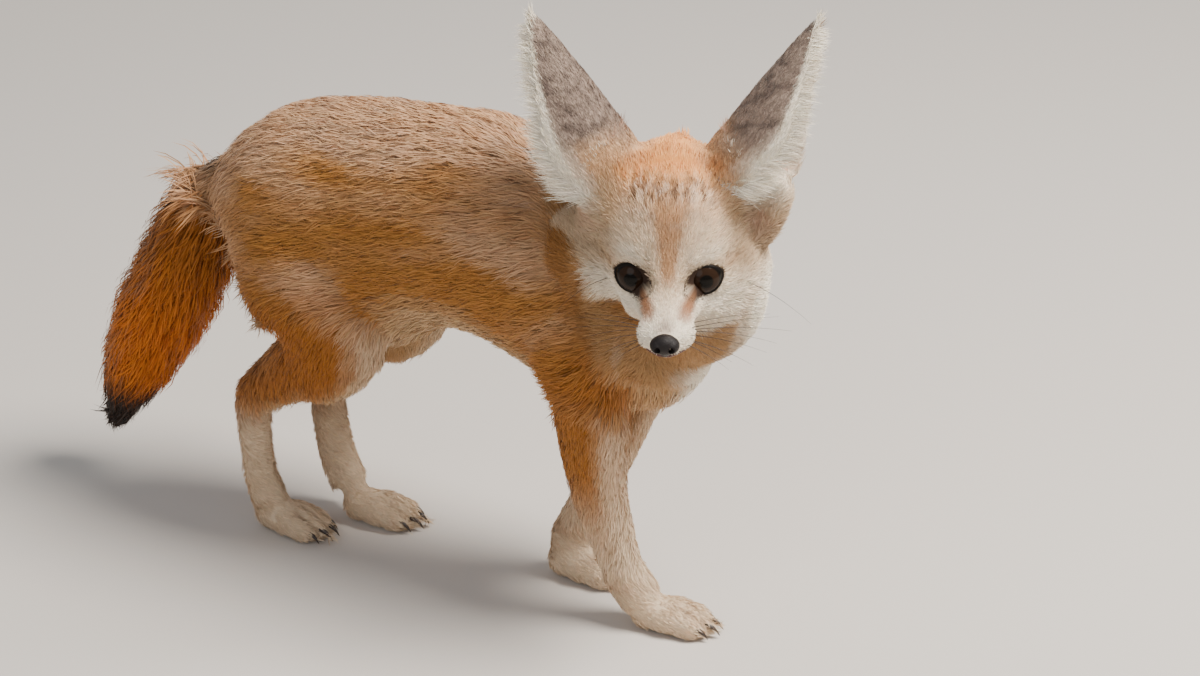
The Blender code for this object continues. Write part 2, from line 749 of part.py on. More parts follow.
def flesh_forms(collection):
    """Every form of the body but the ears' cups and the tail's coat."""
    side = Vector((1, 0, 0))
    pieces = [
        loft("trunk", TRUNK, side, collection, sides=28, heading=Vector((0, -1, 0))),
        loft("neck", NECK, side, collection, sides=24),
        ellipsoid("nape", Vector(NAPE[0]), NAPE[1], Matrix.Identity(3), collection),
    ]
    for name, stations in (
        ("fore_right", FORE_RIGHT),
        ("fore_left", FORE_LEFT),
        ("hind_right", HIND_RIGHT),
        ("hind_left", HIND_LEFT),
    ):
        pieces.append(loft(name, stations, side, collection))
    for name in PAWS:
        pieces += paw_forms(name, collection)
    tail_root = [(centre, reach * 0.96, reach) for centre, reach in TAIL[:3]]
    pieces.append(loft("tail_root", tail_root, side, collection))
    return pieces + skull_forms(collection)


def eye_axis(side):
    """The way an eye looks."""
    rise = math.sin(EYE_RISE)
    level = math.cos(EYE_RISE)
    return head_direction(math.cos(EYE_TURN) * level, side * math.sin(EYE_TURN) * level, rise)


def eye_axes(side, tilt=0):
    """Along the lids, across them, and the way the eye looks."""
    axis = eye_axis(side)
    level = Matrix.Rotation(side * tilt, 3, axis) @ UPWARD.cross(axis).normalized()
    return level, axis.cross(level), axis


def eye_place(side):
    return on_head(-EYE_BACK, side * EYE_APART, EYE_UP)


def eye(name, side, collection):
    """One eyeball, with its pole toward where it looks."""
    return ellipsoid(name, eye_place(side), (EYE_RADIUS,) * 3, eye_axes(side), collection)


def lid_opening(side, collection):
    """The almond that the lids leave open: what two ellipsoids, one above the other, share."""
    level, upright, axis = eye_axes(side, LID_TILT)
    front = eye_place(side) + axis * EYE_RADIUS
    round_by = (LID_OPEN_LONG ** 2 / LID_OPEN_HIGH + LID_OPEN_HIGH) / 2
    apart = round_by - LID_OPEN_HIGH
    size = (round_by, round_by, EYE_RADIUS * 0.8)
    axes = (level, upright, axis)
    halves = [
        ellipsoid("lid_opening", front + upright * shift, size, axes, collection, 24)
        for shift in (apart, -apart)
    ]
    return combined(halves[0], "INTERSECT", halves[1:])


def mouth_groove(obj, collection):
    """The line of the mouth, as a thin band that follows the face's surface, to be cut from it."""
    half = [Vector(place) for place in MOUTH_LINE]
    line = half + [Vector((f, -left, up)) for f, left, up in reversed(MOUTH_LINE[:-1])]
    path = [place for place, *_ in refined([(place, 0, 0) for place in line], MOUTH_STEPS)]
    bm = bmesh.new()
    rows = []
    for place in path:
        _, spot, normal, _ = obj.closest_point_on_mesh(on_head(*place))
        rows.append([bm.verts.new(spot + normal * reach) for reach in (-MOUTH_DEEP, MOUTH_OVER)])
    for (inner, outer), (next_inner, next_outer) in zip(rows, rows[1:]):
        bm.faces.new((inner, outer, next_outer, next_inner))
    groove = new_object("mouth_groove", bm, collection)
    band = groove.modifiers.new("band", "SOLIDIFY")
    band.thickness = MOUTH_WIDE
    band.offset = 0
    bake(groove)
    bm = bmesh.new()
    bm.from_mesh(groove.data)
    bmesh.ops.triangulate(bm, faces=bm.faces)
    bmesh.ops.recalc_face_normals(bm, faces=bm.faces)
    bm.to_mesh(groove.data)
    bm.free()
    return groove


def nose(name, collection, cutters):
    """The nose pad, with its two nostrils."""
    axes = (FORWARD, LEFTWARD, UPWARD)
    obj = ellipsoid(name, on_head(*NOSE_AT), NOSE_SIZE, axes, collection, 16)
    nostrils = []
    for side in (-1, 1):
        place = on_head(NOSE_AT[0] + NOSTRIL_AHEAD, side * NOSTRIL_APART, NOSE_AT[2] - NOSTRIL_DOWN)
        ahead = head_direction(NOSTRIL_WAY[0], side * NOSTRIL_WAY[1], 0)
        level = UPWARD.cross(ahead)
        nostrils.append(ellipsoid("nostril", place, NOSTRIL_SIZE, (ahead, level, UPWARD), cutters, 10))
    return keep_largest(combined(obj, "DIFFERENCE", nostrils))


def finish_head(obj, collection, cutters):
    """Give the head its lids, sockets and mouth, and make room for the eyes and nose."""
    axes = (FORWARD, LEFTWARD, UPWARD)
    lid = EYE_RADIUS + GAP + LID_THICK
    lids = [ellipsoid("lid", eye_place(side), (lid,) * 3, axes, collection) for side in (-1, 1)]
    combined(obj, "UNION", lids)
    room = EYE_RADIUS + GAP
    holes = []
    for side in (-1, 1):
        holes.append(ellipsoid("socket", eye_place(side), (room,) * 3, axes, cutters))
        holes.append(lid_opening(side, cutters))
    nose_room = tuple(size + GAP for size in NOSE_SIZE)
    holes.append(ellipsoid("nose_room", on_head(*NOSE_AT), nose_room, axes, cutters, 16))
    holes.append(mouth_groove(obj, cutters))
    for hole in holes:
        combined(obj, "DIFFERENCE", [hole])
    return keep_largest(obj)


def claws(obj, name, collection):
    """Join four short claws to a paw."""
    (x, y), turn = PAWS[name]
    ahead = Vector((math.sin(math.radians(turn)), -math.cos(math.radians(turn)), 0))
    left = Vector((0, 0, 1)).cross(ahead)
    up = Vector((0, 0, 1))
    made = []
    for aside, forward in TOES:
        root = Vector((x, y, 0)) + ahead * (forward + TOE_LONG * 0.55) + left * aside + up * CLAW_UP
        rows = [
            (root + ahead * (CLAW_LONG * share) - up * drop, radius, radius)
            for share, drop, radius in CLAW_FORM
        ]
        made.append(loft("claw", rows, left, collection, sides=6, steps=1))
    return keep_largest(combined(obj, "UNION", made))


class TailCoat:
    """Places on the tail, by share of its length, angle round it and distance from its line."""

    def __init__(self):
        self.rows = refined([(centre, reach, reach) for centre, reach in TAIL], 6)
        self.lengths = [0.0]
        for (a, _, _), (b, _, _) in zip(self.rows, self.rows[1:]):
            self.lengths.append(self.lengths[-1] + (b - a).length)
        self.length = self.lengths[-1]

    def at(self, share):
        """Centre, way along and reach at a share of the length."""
        want = min(0.999, max(0, share)) * self.length
        i = max(k for k in range(len(self.rows) - 1) if self.lengths[k] <= want)
        part = (want - self.lengths[i]) / (self.lengths[i + 1] - self.lengths[i])
        (start, reach, _), (end, next_reach, _) = self.rows[i], self.rows[i + 1]
        return start.lerp(end, part), (end - start).normalized(), reach + (next_reach - reach) * part

    def core(self, share):
        """The core's radius as a share of the reach."""
        blend = min(1, max(0, (share - LOCK_FIRST) / (CORE_FROM - LOCK_FIRST)))
        return CORE_ROOT + (CORE_SHARE - CORE_ROOT) * blend

    def place(self, share, angle, radius):
        centre, along, _ = self.at(share)
        side = Vector((1, 0, 0))
        outward = side * math.cos(angle) + along.cross(side) * math.sin(angle)
        return centre + outward * radius


def lock(coat, start, angle, chance, collection):
    """One flat, tapered lock that rises from the core and bends along the tail."""
    length = LOCK_LONG * chance.uniform(0.88, 1.12) / coat.length
    lift = chance.uniform(0.94, 1.04)
    bend = chance.uniform(-LOCK_BEND, LOCK_BEND)
    bm = bmesh.new()
    rings = []
    for along, rise, wide, thick in LOCK_FORM:
        share = min(1, start + length * along)
        reach = coat.at(share)[2]
        low = reach * coat.core(share) - LOCK_SUNK
        radius = low + (reach * lift - LOCK_THICK * thick - low) * rise
        turn = angle + bend * along * along
        spread = LOCK_WIDE * wide / max(radius, LOCK_WIDE)
        if wide == 0:
            rings.append([bm.verts.new(coat.place(share, turn, radius))])
            continue
        places = (
            (turn - spread, radius),
            (turn, radius + LOCK_THICK * thick),
            (turn + spread, radius),
            (turn, radius - LOCK_THICK * thick),
        )
        rings.append([bm.verts.new(coat.place(share, *place)) for place in places])
    sides = len(rings[0])
    for low_ring, high_ring in zip(rings, rings[1:]):
        for k in range(sides):
            after = (k + 1) % sides
            if len(high_ring) == 1:
                bm.faces.new((low_ring[k], low_ring[after], high_ring[0]))
            else:
                bm.faces.new((low_ring[k], low_ring[after], high_ring[after], high_ring[k]))
    bm.faces.new(rings[0])
    bmesh.ops.triangulate(bm, faces=bm.faces)
    bmesh.ops.recalc_face_normals(bm, faces=bm.faces)
    return new_object("lock", bm, collection)


def bushy_tail(name, collection, cutters):
    """The tail: a core, and flat locks that overlap along it, out to the tips of its coat."""
    coat = TailCoat()
    rows = []
    for centre, along, reach in (coat.at(k / TAIL_STEPS) for k in range(TAIL_STEPS + 1)):
        share = coat.core(len(rows) / TAIL_STEPS)
        rows.append((centre, reach * share * TAIL_FLAT, reach * share))
    obj = loft(name, rows, Vector((1, 0, 0)), collection, sides=16, steps=1)
    chance = random.Random(LOCK_SEED)
    locks = bpy.data.collections.new("locks")
    bpy.context.scene.collection.children.link(locks)
    for row in range(LOCK_ROWS):
        start = LOCK_FIRST + (LOCK_LAST - LOCK_FIRST) * row / (LOCK_ROWS - 1)
        for k in range(LOCK_ROUND):
            place = k + 0.5 * (row % 2) + chance.uniform(-LOCK_ASIDE, LOCK_ASIDE)
            along = start + chance.uniform(-LOCK_ALONG, LOCK_ALONG)
            lock(coat, along, 2 * math.pi * place / LOCK_ROUND, chance, locks)
    join = obj.modifiers.new("join", "BOOLEAN")
    join.operation = "UNION"
    join.solver = "MANIFOLD"
    join.operand_type = "COLLECTION"
    join.collection = locks
    bake(obj)
    for piece in list(locks.objects):
        bpy.data.objects.remove(piece)
    bpy.data.collections.remove(locks)
    combined(obj, "INTERSECT", [Knife(*TAIL_CUT).box("tail_cut", 0, cutters)])
    return keep_largest(obj)


def finish_of(name):
    """The coat or skin that a part shows."""
    return FINISHES[name.split("_")[0]]


def main():
    fox, cutters = clear_scene()
    flesh = one_surface("flesh", flesh_forms(fox), fox)
    floor = Knife((0, 0, 0), (0, 0, -1))

    down = Vector((0, 0, -1))
    head_knife = Knife(*HEAD_CUT)
    neck_knife = Knife(*NECK_CUT)
    tail_knife = Knife(*TAIL_CUT, TAIL_CUT_REACH)
    ear_knives = [ear_knife(side) for side in (-1, 1)]
    leg_knives = {name: Knife(*cut, down) for name, cut in LEG_CUTS.items()}
    paw_knives = {name: Knife(*cut, down) for name, cut in PAW_CUTS.items()}

    def take(name, keep, leave):
        kind = name.split("_")[0]
        return part_of(flesh, name, TRIANGLES[kind], keep, leave, fox, cutters)

    head = take("head", head_knife, ear_knives)
    finish_head(head, fox, cutters)
    take("neck", neck_knife, [head_knife])
    for name, knife in paw_knives.items():
        claws(take(name, knife, [floor]), name, fox)
    for paw, leg in zip(PAW_CUTS, LEG_CUTS):
        take(leg, leg_knives[leg], [paw_knives[paw]])
    rest = [head_knife, neck_knife, tail_knife] + list(leg_knives.values())
    take("torso", None, rest)
    bpy.data.objects.remove(flesh)

    for side, word in ((-1, "right"), (1, "left")):
        ear("ear_" + word, side, fox, cutters)
        eye("eye_" + word, side, fox)
    nose("nose", fox, cutters)
    bushy_tail("tail", fox, cutters)
    centre_on_floor(fox)


def centre_on_floor(collection):
    """Set the origin under the middle of the fox's box, and give each part its material."""
    corners = [vert.co for obj in collection.objects for vert in obj.data.vertices]
    low = Vector(min(p[k] for p in corners) for k in range(3))
    high = Vector(max(p[k] for p in corners) for k in range(3))
    shift = Vector((-(low.x + high.x) / 2, -(low.y + high.y) / 2, -low.z))
    for obj in collection.objects:
        obj.data.transform(Matrix.Translation(shift))
        obj.data.materials.clear()
        obj.data.materials.append(material(finish_of(obj.name)))


if __name__ == "__main__":
    main()
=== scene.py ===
"""The looks of the fennec fox: one skin over its flesh, its coat in tufts, eyes, nose, claws and whiskers.

Places on the fox are given in its design frame, metres: it faces -Y, its left is +X, +Z up. The head
has its own frame: forward along the muzzle, left, and up, from the point midway between the eyes.
"""

import math
import random

import bmesh
import bpy
import numpy as np
from mathutils import Matrix, Vector, noise
from mathutils.bvhtree import BVHTree


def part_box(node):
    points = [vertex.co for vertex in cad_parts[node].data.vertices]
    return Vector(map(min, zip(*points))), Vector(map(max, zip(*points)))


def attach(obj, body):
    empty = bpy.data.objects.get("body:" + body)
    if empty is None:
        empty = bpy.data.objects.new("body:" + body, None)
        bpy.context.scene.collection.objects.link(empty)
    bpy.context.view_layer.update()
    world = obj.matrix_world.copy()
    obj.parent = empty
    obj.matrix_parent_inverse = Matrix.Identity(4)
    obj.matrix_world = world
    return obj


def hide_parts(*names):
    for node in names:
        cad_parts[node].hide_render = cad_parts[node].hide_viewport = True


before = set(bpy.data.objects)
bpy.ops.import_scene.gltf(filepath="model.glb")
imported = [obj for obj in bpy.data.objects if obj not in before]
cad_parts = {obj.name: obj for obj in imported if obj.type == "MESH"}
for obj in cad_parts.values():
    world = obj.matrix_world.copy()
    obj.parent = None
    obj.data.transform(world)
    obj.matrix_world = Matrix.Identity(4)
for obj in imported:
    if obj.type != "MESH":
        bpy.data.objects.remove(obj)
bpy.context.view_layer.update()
RNG = np.random.default_rng(7)

# The fox's own measures
EYES_MIDDLE = Vector((-0.04, -0.1262, 0.1905))
HEAD_TURN = math.radians(63.5)
HEAD_PITCH = math.radians(9)
EYE_RADIUS = 0.009
EYE_APART = 0.0152
EYE_BACK = 0.0046
EYE_UP = 0.001
EYE_RISE = math.radians(10)
LOOK_TURN = math.radians(11)
LID_TURN = math.radians(5)
LID_LONG = 0.0088
LID_HIGH = 0.0062
LID_TILT = math.radians(13)
NOSE_AT = (0.038, 0.0, -0.0088)
NOSE_SIZE = (0.0046, 0.0062, 0.0048)
EAR_BASE = (-0.038, 0.0304, 0.0278)
EAR_TIP = (-0.056, 0.0646, 0.1035)
EAR_BOW = 0.008
EAR_TURNS = {1: (60, 80), -1: (88, 93)}
# Share of an ear's length, half width, depth of its cup, and half the angle that its wall spans
EAR_SECTIONS = (
    (-0.34, 0.015, 0.014, 118),
    (-0.18, 0.0205, 0.0185, 118),
    (0.00, 0.0235, 0.0245, 120),
    (0.16, 0.0245, 0.025, 115),
    (0.36, 0.0242, 0.024, 104),
    (0.56, 0.0207, 0.0205, 94),
    (0.76, 0.0143, 0.0141, 88),
    (0.9, 0.0083, 0.0078, 84),
    (1.00, 0.0022, 0.0018, 80),
)
MOUTH_LINE = (
    (0.007, 0.014, -0.0165),
    (0.013, 0.0125, -0.0173),
    (0.02, 0.011, -0.0176),
    (0.029, 0.008, -0.017),
    (0.035, 0.0038, -0.018),
    (0.0374, 0.0, -0.018),
)
# Each tail station: centre, and the reach of its coat
TAIL = (
    ((0.000, 0.13, 0.18), 0.0135),
    ((0.000, 0.1415, 0.17), 0.0155),
    ((0.000, 0.153, 0.153), 0.023),
    ((0.000, 0.167, 0.123), 0.0275),
    ((0.000, 0.186, 0.0875), 0.0275),
    ((0.000, 0.2005, 0.058), 0.0225),
    ((0.000, 0.2095, 0.038), 0.015),
    ((0.000, 0.215, 0.024), 0.003),
)
PAWS = {
    "forepaw_right": ((-0.0115, -0.114), 14),
    "forepaw_left": ((0.0135, -0.054), 4),
    "hindfoot_right": ((-0.0155, 0.0965), 2),
    "hindfoot_left": ((0.0155, 0.065), 8),
}
TOES = ((-0.0088, 0.0085), (-0.0032, 0.0128), (0.0032, 0.0128), (0.0088, 0.0085))
TOE_LONG = 0.0082
GROOVES = (-0.006, 0.0, 0.006)
GROOVE_DEEP = 0.0019

FLAT = Vector((-math.sin(HEAD_TURN), -math.cos(HEAD_TURN), 0))
LEFTWARD = Vector((0, 0, 1)).cross(FLAT)
FORWARD = Matrix.Rotation(HEAD_PITCH, 3, LEFTWARD) @ FLAT
UPWARD = FORWARD.cross(LEFTWARD)
HEAD = np.array((FORWARD, LEFTWARD, UPWARD))


def middle(node):
    low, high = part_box(node)
    return (low + high) / 2


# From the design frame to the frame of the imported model
SHIFT = (middle("eye_left") + middle("eye_right")) / 2 - (
    EYES_MIDDLE - FORWARD * EYE_BACK + UPWARD * EYE_UP
)


def on_head(forward, left, up):
    """A point given in the head frame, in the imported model's frame."""
    return EYES_MIDDLE + SHIFT + FORWARD * forward + LEFTWARD * left + UPWARD * up


def unit(v):
    return v / np.maximum(np.linalg.norm(v, axis=-1, keepdims=True), 1e-9)


def dot(a, b):
    return np.einsum("ij,ij->i", a, b)


def head_place(p):
    """The points' places in the head frame: forward, left and up."""
    return (p - np.array(on_head(0, 0, 0))) @ HEAD.T


def ease(x, low, high):
    """A smooth step from 0 at low to 1 at high."""
    t = np.clip((x - low) / (high - low), 0, 1)
    return t * t * (3 - 2 * t)


def eye_frame(side, tilt=0.0, turn=LOOK_TURN):
    """Along the lids, across them and the way the eye looks, and the eye's middle."""
    axis = (
        FORWARD * (math.cos(turn) * math.cos(EYE_RISE))
        + LEFTWARD * (side * math.sin(turn) * math.cos(EYE_RISE))
        + UPWARD * math.sin(EYE_RISE)
    )
    level = Matrix.Rotation(side * tilt, 3, axis) @ UPWARD.cross(axis).normalized()
    return level, axis.cross(level), axis, on_head(-EYE_BACK, side * EYE_APART, EYE_UP)


def almond(p, side):
    """How far each point is out from an eye's middle, where 1 is on the edge of its lids."""
    level, upright, axis, place = (np.array(v) for v in eye_frame(side, LID_TILT, LID_TURN))
    d = p - place
    x, y = d @ level, d @ upright
    half = (LID_LONG ** 2 / LID_HIGH + LID_HIGH) / 2
    apart = half - LID_HIGH
    out = np.hypot(x, np.abs(y) + apart)
    away = np.maximum(out - half, -LID_HIGH) / LID_HIGH + 1
    return np.where(d @ axis > 0, away, 9.0)


class Ear:
    """One ear: a leaf rolled into a cup. side is -1 for the fox's right ear."""

    def __init__(self, side):
        self.side = side
        self.base = on_head(EAR_BASE[0], side * EAR_BASE[1], EAR_BASE[2])
        self.tip = on_head(EAR_TIP[0], side * EAR_TIP[1], EAR_TIP[2])
        self.axis = (self.tip - self.base).normalized()

    def opening(self, t):
        low, high = EAR_TURNS[self.side]
        blend = min(1, max(0, t / 0.45))
        turn = math.radians(low + (high - low) * blend * blend * (3 - 2 * blend))
        facing = FORWARD * math.cos(turn) + LEFTWARD * (self.side * math.sin(turn))
        return (facing - self.axis * facing.dot(self.axis)).normalized()

    def centre(self, t):
        bow = 4 * t * (1 - t) if 0 < t < 1 else 0
        return self.base.lerp(self.tip, t) + self.opening(1) * (EAR_BOW * bow)

    def section(self, t):
        rows = np.array(EAR_SECTIONS)
        return [float(np.interp(t, rows[:, 0], rows[:, k])) for k in (1, 2, 3)]

    def skin(self, t, share):
        """A point on the ear: share runs from -1 at the rear rim to 1 at the front rim."""
        width, depth, span = self.section(t)
        angle = math.radians(span) * share
        across = self.axis.cross(self.opening(t)) * -self.side
        deep = self.opening(t) * (depth * math.cos(angle))
        return self.centre(t) - deep + across * (width * math.sin(angle))


SIDES = {-1: "right", 1: "left"}
EARS = {side: Ear(side) for side in SIDES}


# Meshes
def mesh_object(name, verts, faces, material=None):
    """A smooth-shaded object from lists of corners and faces."""
    mesh = bpy.data.meshes.new(name)
    mesh.from_pydata([tuple(v) for v in verts], [], [tuple(f) for f in faces])
    mesh.update()
    obj = bpy.data.objects.new(name, mesh)
    bpy.context.scene.collection.objects.link(obj)
    if material:
        mesh.materials.append(material)
    mesh.polygons.foreach_set("use_smooth", [True] * len(mesh.polygons))
    return obj


def applied(obj):
    """The object with its modifiers worked into its mesh."""
    bpy.context.view_layer.update()
    graph = bpy.context.evaluated_depsgraph_get()
    mesh = bpy.data.meshes.new_from_object(obj.evaluated_get(graph))
    obj.modifiers.clear()
    obj.data = mesh
    return obj


def arrays(mesh):
    """Vertices, triangles and vertex normals of a mesh of triangles."""
    co = np.empty(len(mesh.vertices) * 3, np.float32)
    mesh.vertices.foreach_get("co", co)
    tri = np.empty(len(mesh.loops), np.int32)
    mesh.loops.foreach_get("vertex_index", tri)
    nor = np.empty(len(mesh.vertices) * 3, np.float32)
    mesh.vertices.foreach_get("normal", nor)
    return co.reshape(-1, 3).astype(float), tri.reshape(-1, 3), nor.reshape(-1, 3).astype(float)


def tube(path, radii, sides):
    """A round tapered tube along a path, closed at both ends."""
    path = [Vector(p) for p in path]
    verts, faces = [], []
    side = (path[1] - path[0]).orthogonal().normalized()
    for i, place in enumerate(path):
        along = (path[min(i + 1, len(path) - 1)] - path[max(i - 1, 0)]).normalized()
        side = (side - along * side.dot(along)).normalized()
        rise = along.cross(side)
        for k in range(sides):
            a = 2 * math.pi * k / sides
            verts.append(place + (side * math.cos(a) + rise * math.sin(a)) * radii[i])
    for i in range(len(path) - 1):
        for k in range(sides):
            n = (k + 1) % sides
            faces.append((i * sides + k, i * sides + n, (i + 1) * sides + n, (i + 1) * sides + k))
    faces.append(tuple(range(sides))[::-1])
    faces.append(tuple(range((len(path) - 1) * sides, len(path) * sides)))
    return verts, faces


def gathered(name, parts, material):
    """One object from several (verts, faces) pairs."""
    verts, faces = [], []
    for v, f in parts:
        base = len(verts)
        verts += list(v)
        faces += [tuple(i + base for i in face) for face in f]
    return mesh_object(name, verts, faces, material)


def ball(centre, radii, axes, rings=16, sides=24):
    """A closed ellipsoid with its radii along three axes."""
    verts, faces = [], []
    for i in range(1, rings):
        a = math.pi * i / rings
        for k in range(sides):
            b = 2 * math.pi * k / sides
            out = (math.sin(a) * math.cos(b), math.sin(a) * math.sin(b), math.cos(a))
            reach = sum((Vector(axes[j]) * (radii[j] * out[j]) for j in range(3)), Vector())
            verts.append(Vector(centre) + reach)
    top = len(verts)
    low = top + 1
    verts.append(Vector(centre) + Vector(axes[2]) * radii[2])
    verts.append(Vector(centre) - Vector(axes[2]) * radii[2])
    for i in range(rings - 2):
        for k in range(sides):
            n = (k + 1) % sides
            faces.append((i * sides + k, (i + 1) * sides + k, (i + 1) * sides + n, i * sides + n))
    for k in range(sides):
        n = (k + 1) % sides
        faces.append((top, k, n))
        faces.append((low, (rings - 2) * sides + n, (rings - 2) * sides + k))
    return verts, faces


# The skin
# Each part's coat: how deep the skin lies below its tips, its tufts' length, height and width, its tufts to
# a square millimetre, and one over the radius that the part is rounded by, so that the tufts bend along
COAT = {
    "head": (0.0016, 0.0062, 0.0013, 0.00046, 1.12, 26),
    "neck": (0.005, 0.015, 0.0034, 0.00056, 0.5, 20),
    "torso": (0.0048, 0.015, 0.0032, 0.00056, 0.45, 19),
    "tail": (0.0, 0.03, 0.012, 0.00062, 0.62, 20),
    "ear": (0.0004, 0.004, 0.0006, 0.00034, 0.85, 6),
    "foreleg": (0.0022, 0.0075, 0.0016, 0.00042, 0.62, 42),
    "hindleg": (0.0026, 0.0085, 0.0019, 0.00044, 0.6, 40),
    "forepaw": (0.0012, 0.004, 0.0009, 0.00036, 0.8, 50),
    "hindfoot": (0.0013, 0.004, 0.001, 0.00036, 0.8, 50),
}
GROUPS = tuple(COAT)
SKIN_DEPTH, LENGTH, HEIGHT, WIDTH, DENSITY, ROUND = (np.array(column) for column in zip(*COAT.values()))
# How far the nodes are grown, so that the thin cuts between them close
CLOSE_GAPS = 0.0004
VOXEL = 0.0014
# Rounds of averaging that blend one part's coat into the next
BLEND_ROUNDS = 22
# The tail's core, as a share of its coat's reach, and its least and greatest radius
CORE = 0.5
CORE_LEAST = 0.0025
CORE_MOST = 0.0112
NOSE_FILL = 0.9
EYE_GAP = 0.0002
# How far the skin lies behind the front of the eyeball within the lids, and its rise beyond them
LID_SINK = 0.0008
LID_RISE = 0.0075
GROOVE_HALF = 0.0011


def tail_line(steps=40):
    """The tail's centre line and the reach of its coat, evenly spaced."""
    centres = np.array([c for c, _ in TAIL]) + np.array(SHIFT)
    reach = np.array([r for _, r in TAIL])
    run = np.concatenate([[0], np.cumsum(np.linalg.norm(np.diff(centres, axis=0), axis=1))])
    at = np.linspace(0, run[-1], steps)
    line = np.stack([np.interp(at, run, centres[:, k]) for k in range(3)], 1)
    for _ in range(3):
        line[1:-1] = (line[:-2] + line[1:-1] * 2 + line[2:]) / 4
    return line, np.interp(at, run, reach), at / run[-1]


TAIL_LINE, TAIL_REACH, TAIL_SHARE = tail_line()
CORE_THIN = 1 + (CORE - 1) * np.clip((TAIL_SHARE - 0.02) / 0.2, 0, 1)
CORE_RADII = np.minimum(np.maximum(TAIL_REACH * CORE_THIN, CORE_LEAST), CORE_MOST)


def tail_core():
    return tube([Vector(p) for p in TAIL_LINE[:-2]], CORE_RADII[:-2], 20)


def grown_flesh(bm):
    """Adds the nodes of flesh to bm, a little grown, and returns their corners, faces and kinds."""
    faces_of, labels, corners = [], [], []
    for name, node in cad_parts.items():
        kind = name.split("_")[0]
        if kind not in GROUPS:
            continue
        one = bmesh.new()
        one.from_mesh(node.data)
        bmesh.ops.remove_doubles(one, verts=one.verts, dist=0.00001)
        base = len(corners)
        corners += [v.co.copy() for v in one.verts]
        faces_of += [[v.index + base for v in f.verts] for f in one.faces]
        labels += [GROUPS.index(kind)] * len(one.faces)
        if kind != "tail":
            one.normal_update()
            for v in one.verts:
                v.co += v.normal * CLOSE_GAPS
            mesh = bpy.data.meshes.new("grown")
            one.to_mesh(mesh)
            bm.from_mesh(mesh)
            bpy.data.meshes.remove(mesh)
        one.free()
    return corners, faces_of, labels


def fill_solids(bm):
    """Adds the tail's core, and fills the places of the nose and the eyes."""
    fills = [tail_core()]
    fills.append(ball(on_head(*NOSE_AT), [s * NOSE_FILL for s in NOSE_SIZE], (FORWARD, LEFTWARD, UPWARD)))
    plain = (Vector((1, 0, 0)), Vector((0, 1, 0)), Vector((0, 0, 1)))
    for side in SIDES:
        fills.append(ball(eye_frame(side)[3], (EYE_RADIUS + EYE_GAP,) * 3, plain))
    filled = gathered("fills", fills, None)
    bm.from_mesh(filled.data)
    bpy.data.objects.remove(filled)


def keep_largest_shell(mesh):
    bm = bmesh.new()
    bm.from_mesh(mesh)
    seen, best = set(), set()
    for start in bm.verts:
        if start in seen:
            continue
        shell, todo = {start}, [start]
        while todo:
            for edge in todo.pop().link_edges:
                for v in edge.verts:
                    if v not in shell:
                        shell.add(v)
                        todo.append(v)
        seen |= shell
        if len(shell) > len(best):
            best = shell
    bmesh.ops.delete(bm, geom=[v for v in bm.verts if v not in best], context="VERTS")
    bm.to_mesh(mesh)
    bm.free()


def carved_round_lids(co):
    """The skin's points, sunk behind the eyeballs within the lids."""
    for side in SIDES:
        place = np.array(eye_frame(side)[3])
        out = co - place
        far = np.linalg.norm(out, axis=1)
        round_lids = almond(co, side)
        most = EYE_RADIUS - LID_SINK + np.clip(round_lids - 1.1, 0, None) * LID_RISE
        near = (round_lids < 1.7) & (far > most) & (far < EYE_RADIUS + 0.012)
        co[near] = place + out[near] * (most[near] / far[near])[:, None]
    return co


def skin_depth(co, weights):
    """How far the skin is drawn in: least on the face and most at the cheeks' ruff."""
    depth = weights @ SKIN_DEPTH
    h = head_place(co)
    face = weights[:, 0] * (1 - ease(-h[:, 0], -0.01, 0.035))
    ruff = weights[:, 0] * ease(-h[:, 2], 0.004, 0.02) * ease(-h[:, 0], 0.005, 0.03)
    return depth - face * 0.0009 + ruff * 0.003


def build_skin():
    """One closed surface in place of the nodes of flesh, drawn in by the coat's depth."""
    bm = bmesh.new()
    corners, faces_of, labels = grown_flesh(bm)
    fill_solids(bm)
    mesh = bpy.data.meshes.new("skin")
    bm.to_mesh(mesh)
    bm.free()
    obj = bpy.data.objects.new("skin", mesh)
    bpy.context.scene.collection.objects.link(obj)
    voxels = obj.modifiers.new("voxels", "REMESH")
    voxels.mode = "VOXEL"
    voxels.voxel_size = VOXEL
    soft = obj.modifiers.new("soft", "SMOOTH")
    soft.iterations = 3
    obj.modifiers.new("tris", "TRIANGULATE")
    applied(obj)
    keep_largest_shell(obj.data)

    co, tri, nor = arrays(obj.data)
    tree = BVHTree.FromPolygons(corners, faces_of)
    weights = np.zeros((len(co), len(GROUPS)))
    for i, p in enumerate(co):
        face = tree.find_nearest(Vector(p))[2]
        weights[i, labels[face]] = 1
    weights = blurred(weights, tri, BLEND_ROUNDS)
    depth = skin_depth(co, weights)
    co = co - nor * (depth + CLOSE_GAPS + toe_grooves(co, nor))[:, None]
    co = carved_round_lids(co)
    obj.data.vertices.foreach_set("co", co.astype(np.float32).ravel())
    obj.data.update()
    co, tri, nor = arrays(obj.data)
    return obj, co, tri, nor, weights


def toe_grooves(p, n):
    """How deep the grooves between the toes are at each point."""
    d = p - np.array(SHIFT)
    deep = np.zeros(len(p))
    for (x, y), turn in PAWS.values():
        a = math.radians(turn)
        ahead = (d[:, 0] - x) * math.sin(a) - (d[:, 1] - y) * math.cos(a)
        aside = (d[:, 0] - x) * math.cos(a) + (d[:, 1] - y) * math.sin(a)
        here = ease(ahead, 0.001, 0.008) * ease(-ahead, -0.03, -0.022) * (d[:, 2] < 0.02)
        above = ease(n[:, 2], -0.3, 0.3)
        for groove in GROOVES:
            deep += here * np.exp(-(((aside - groove) / GROOVE_HALF) ** 2)) * above * GROOVE_DEEP
    return deep


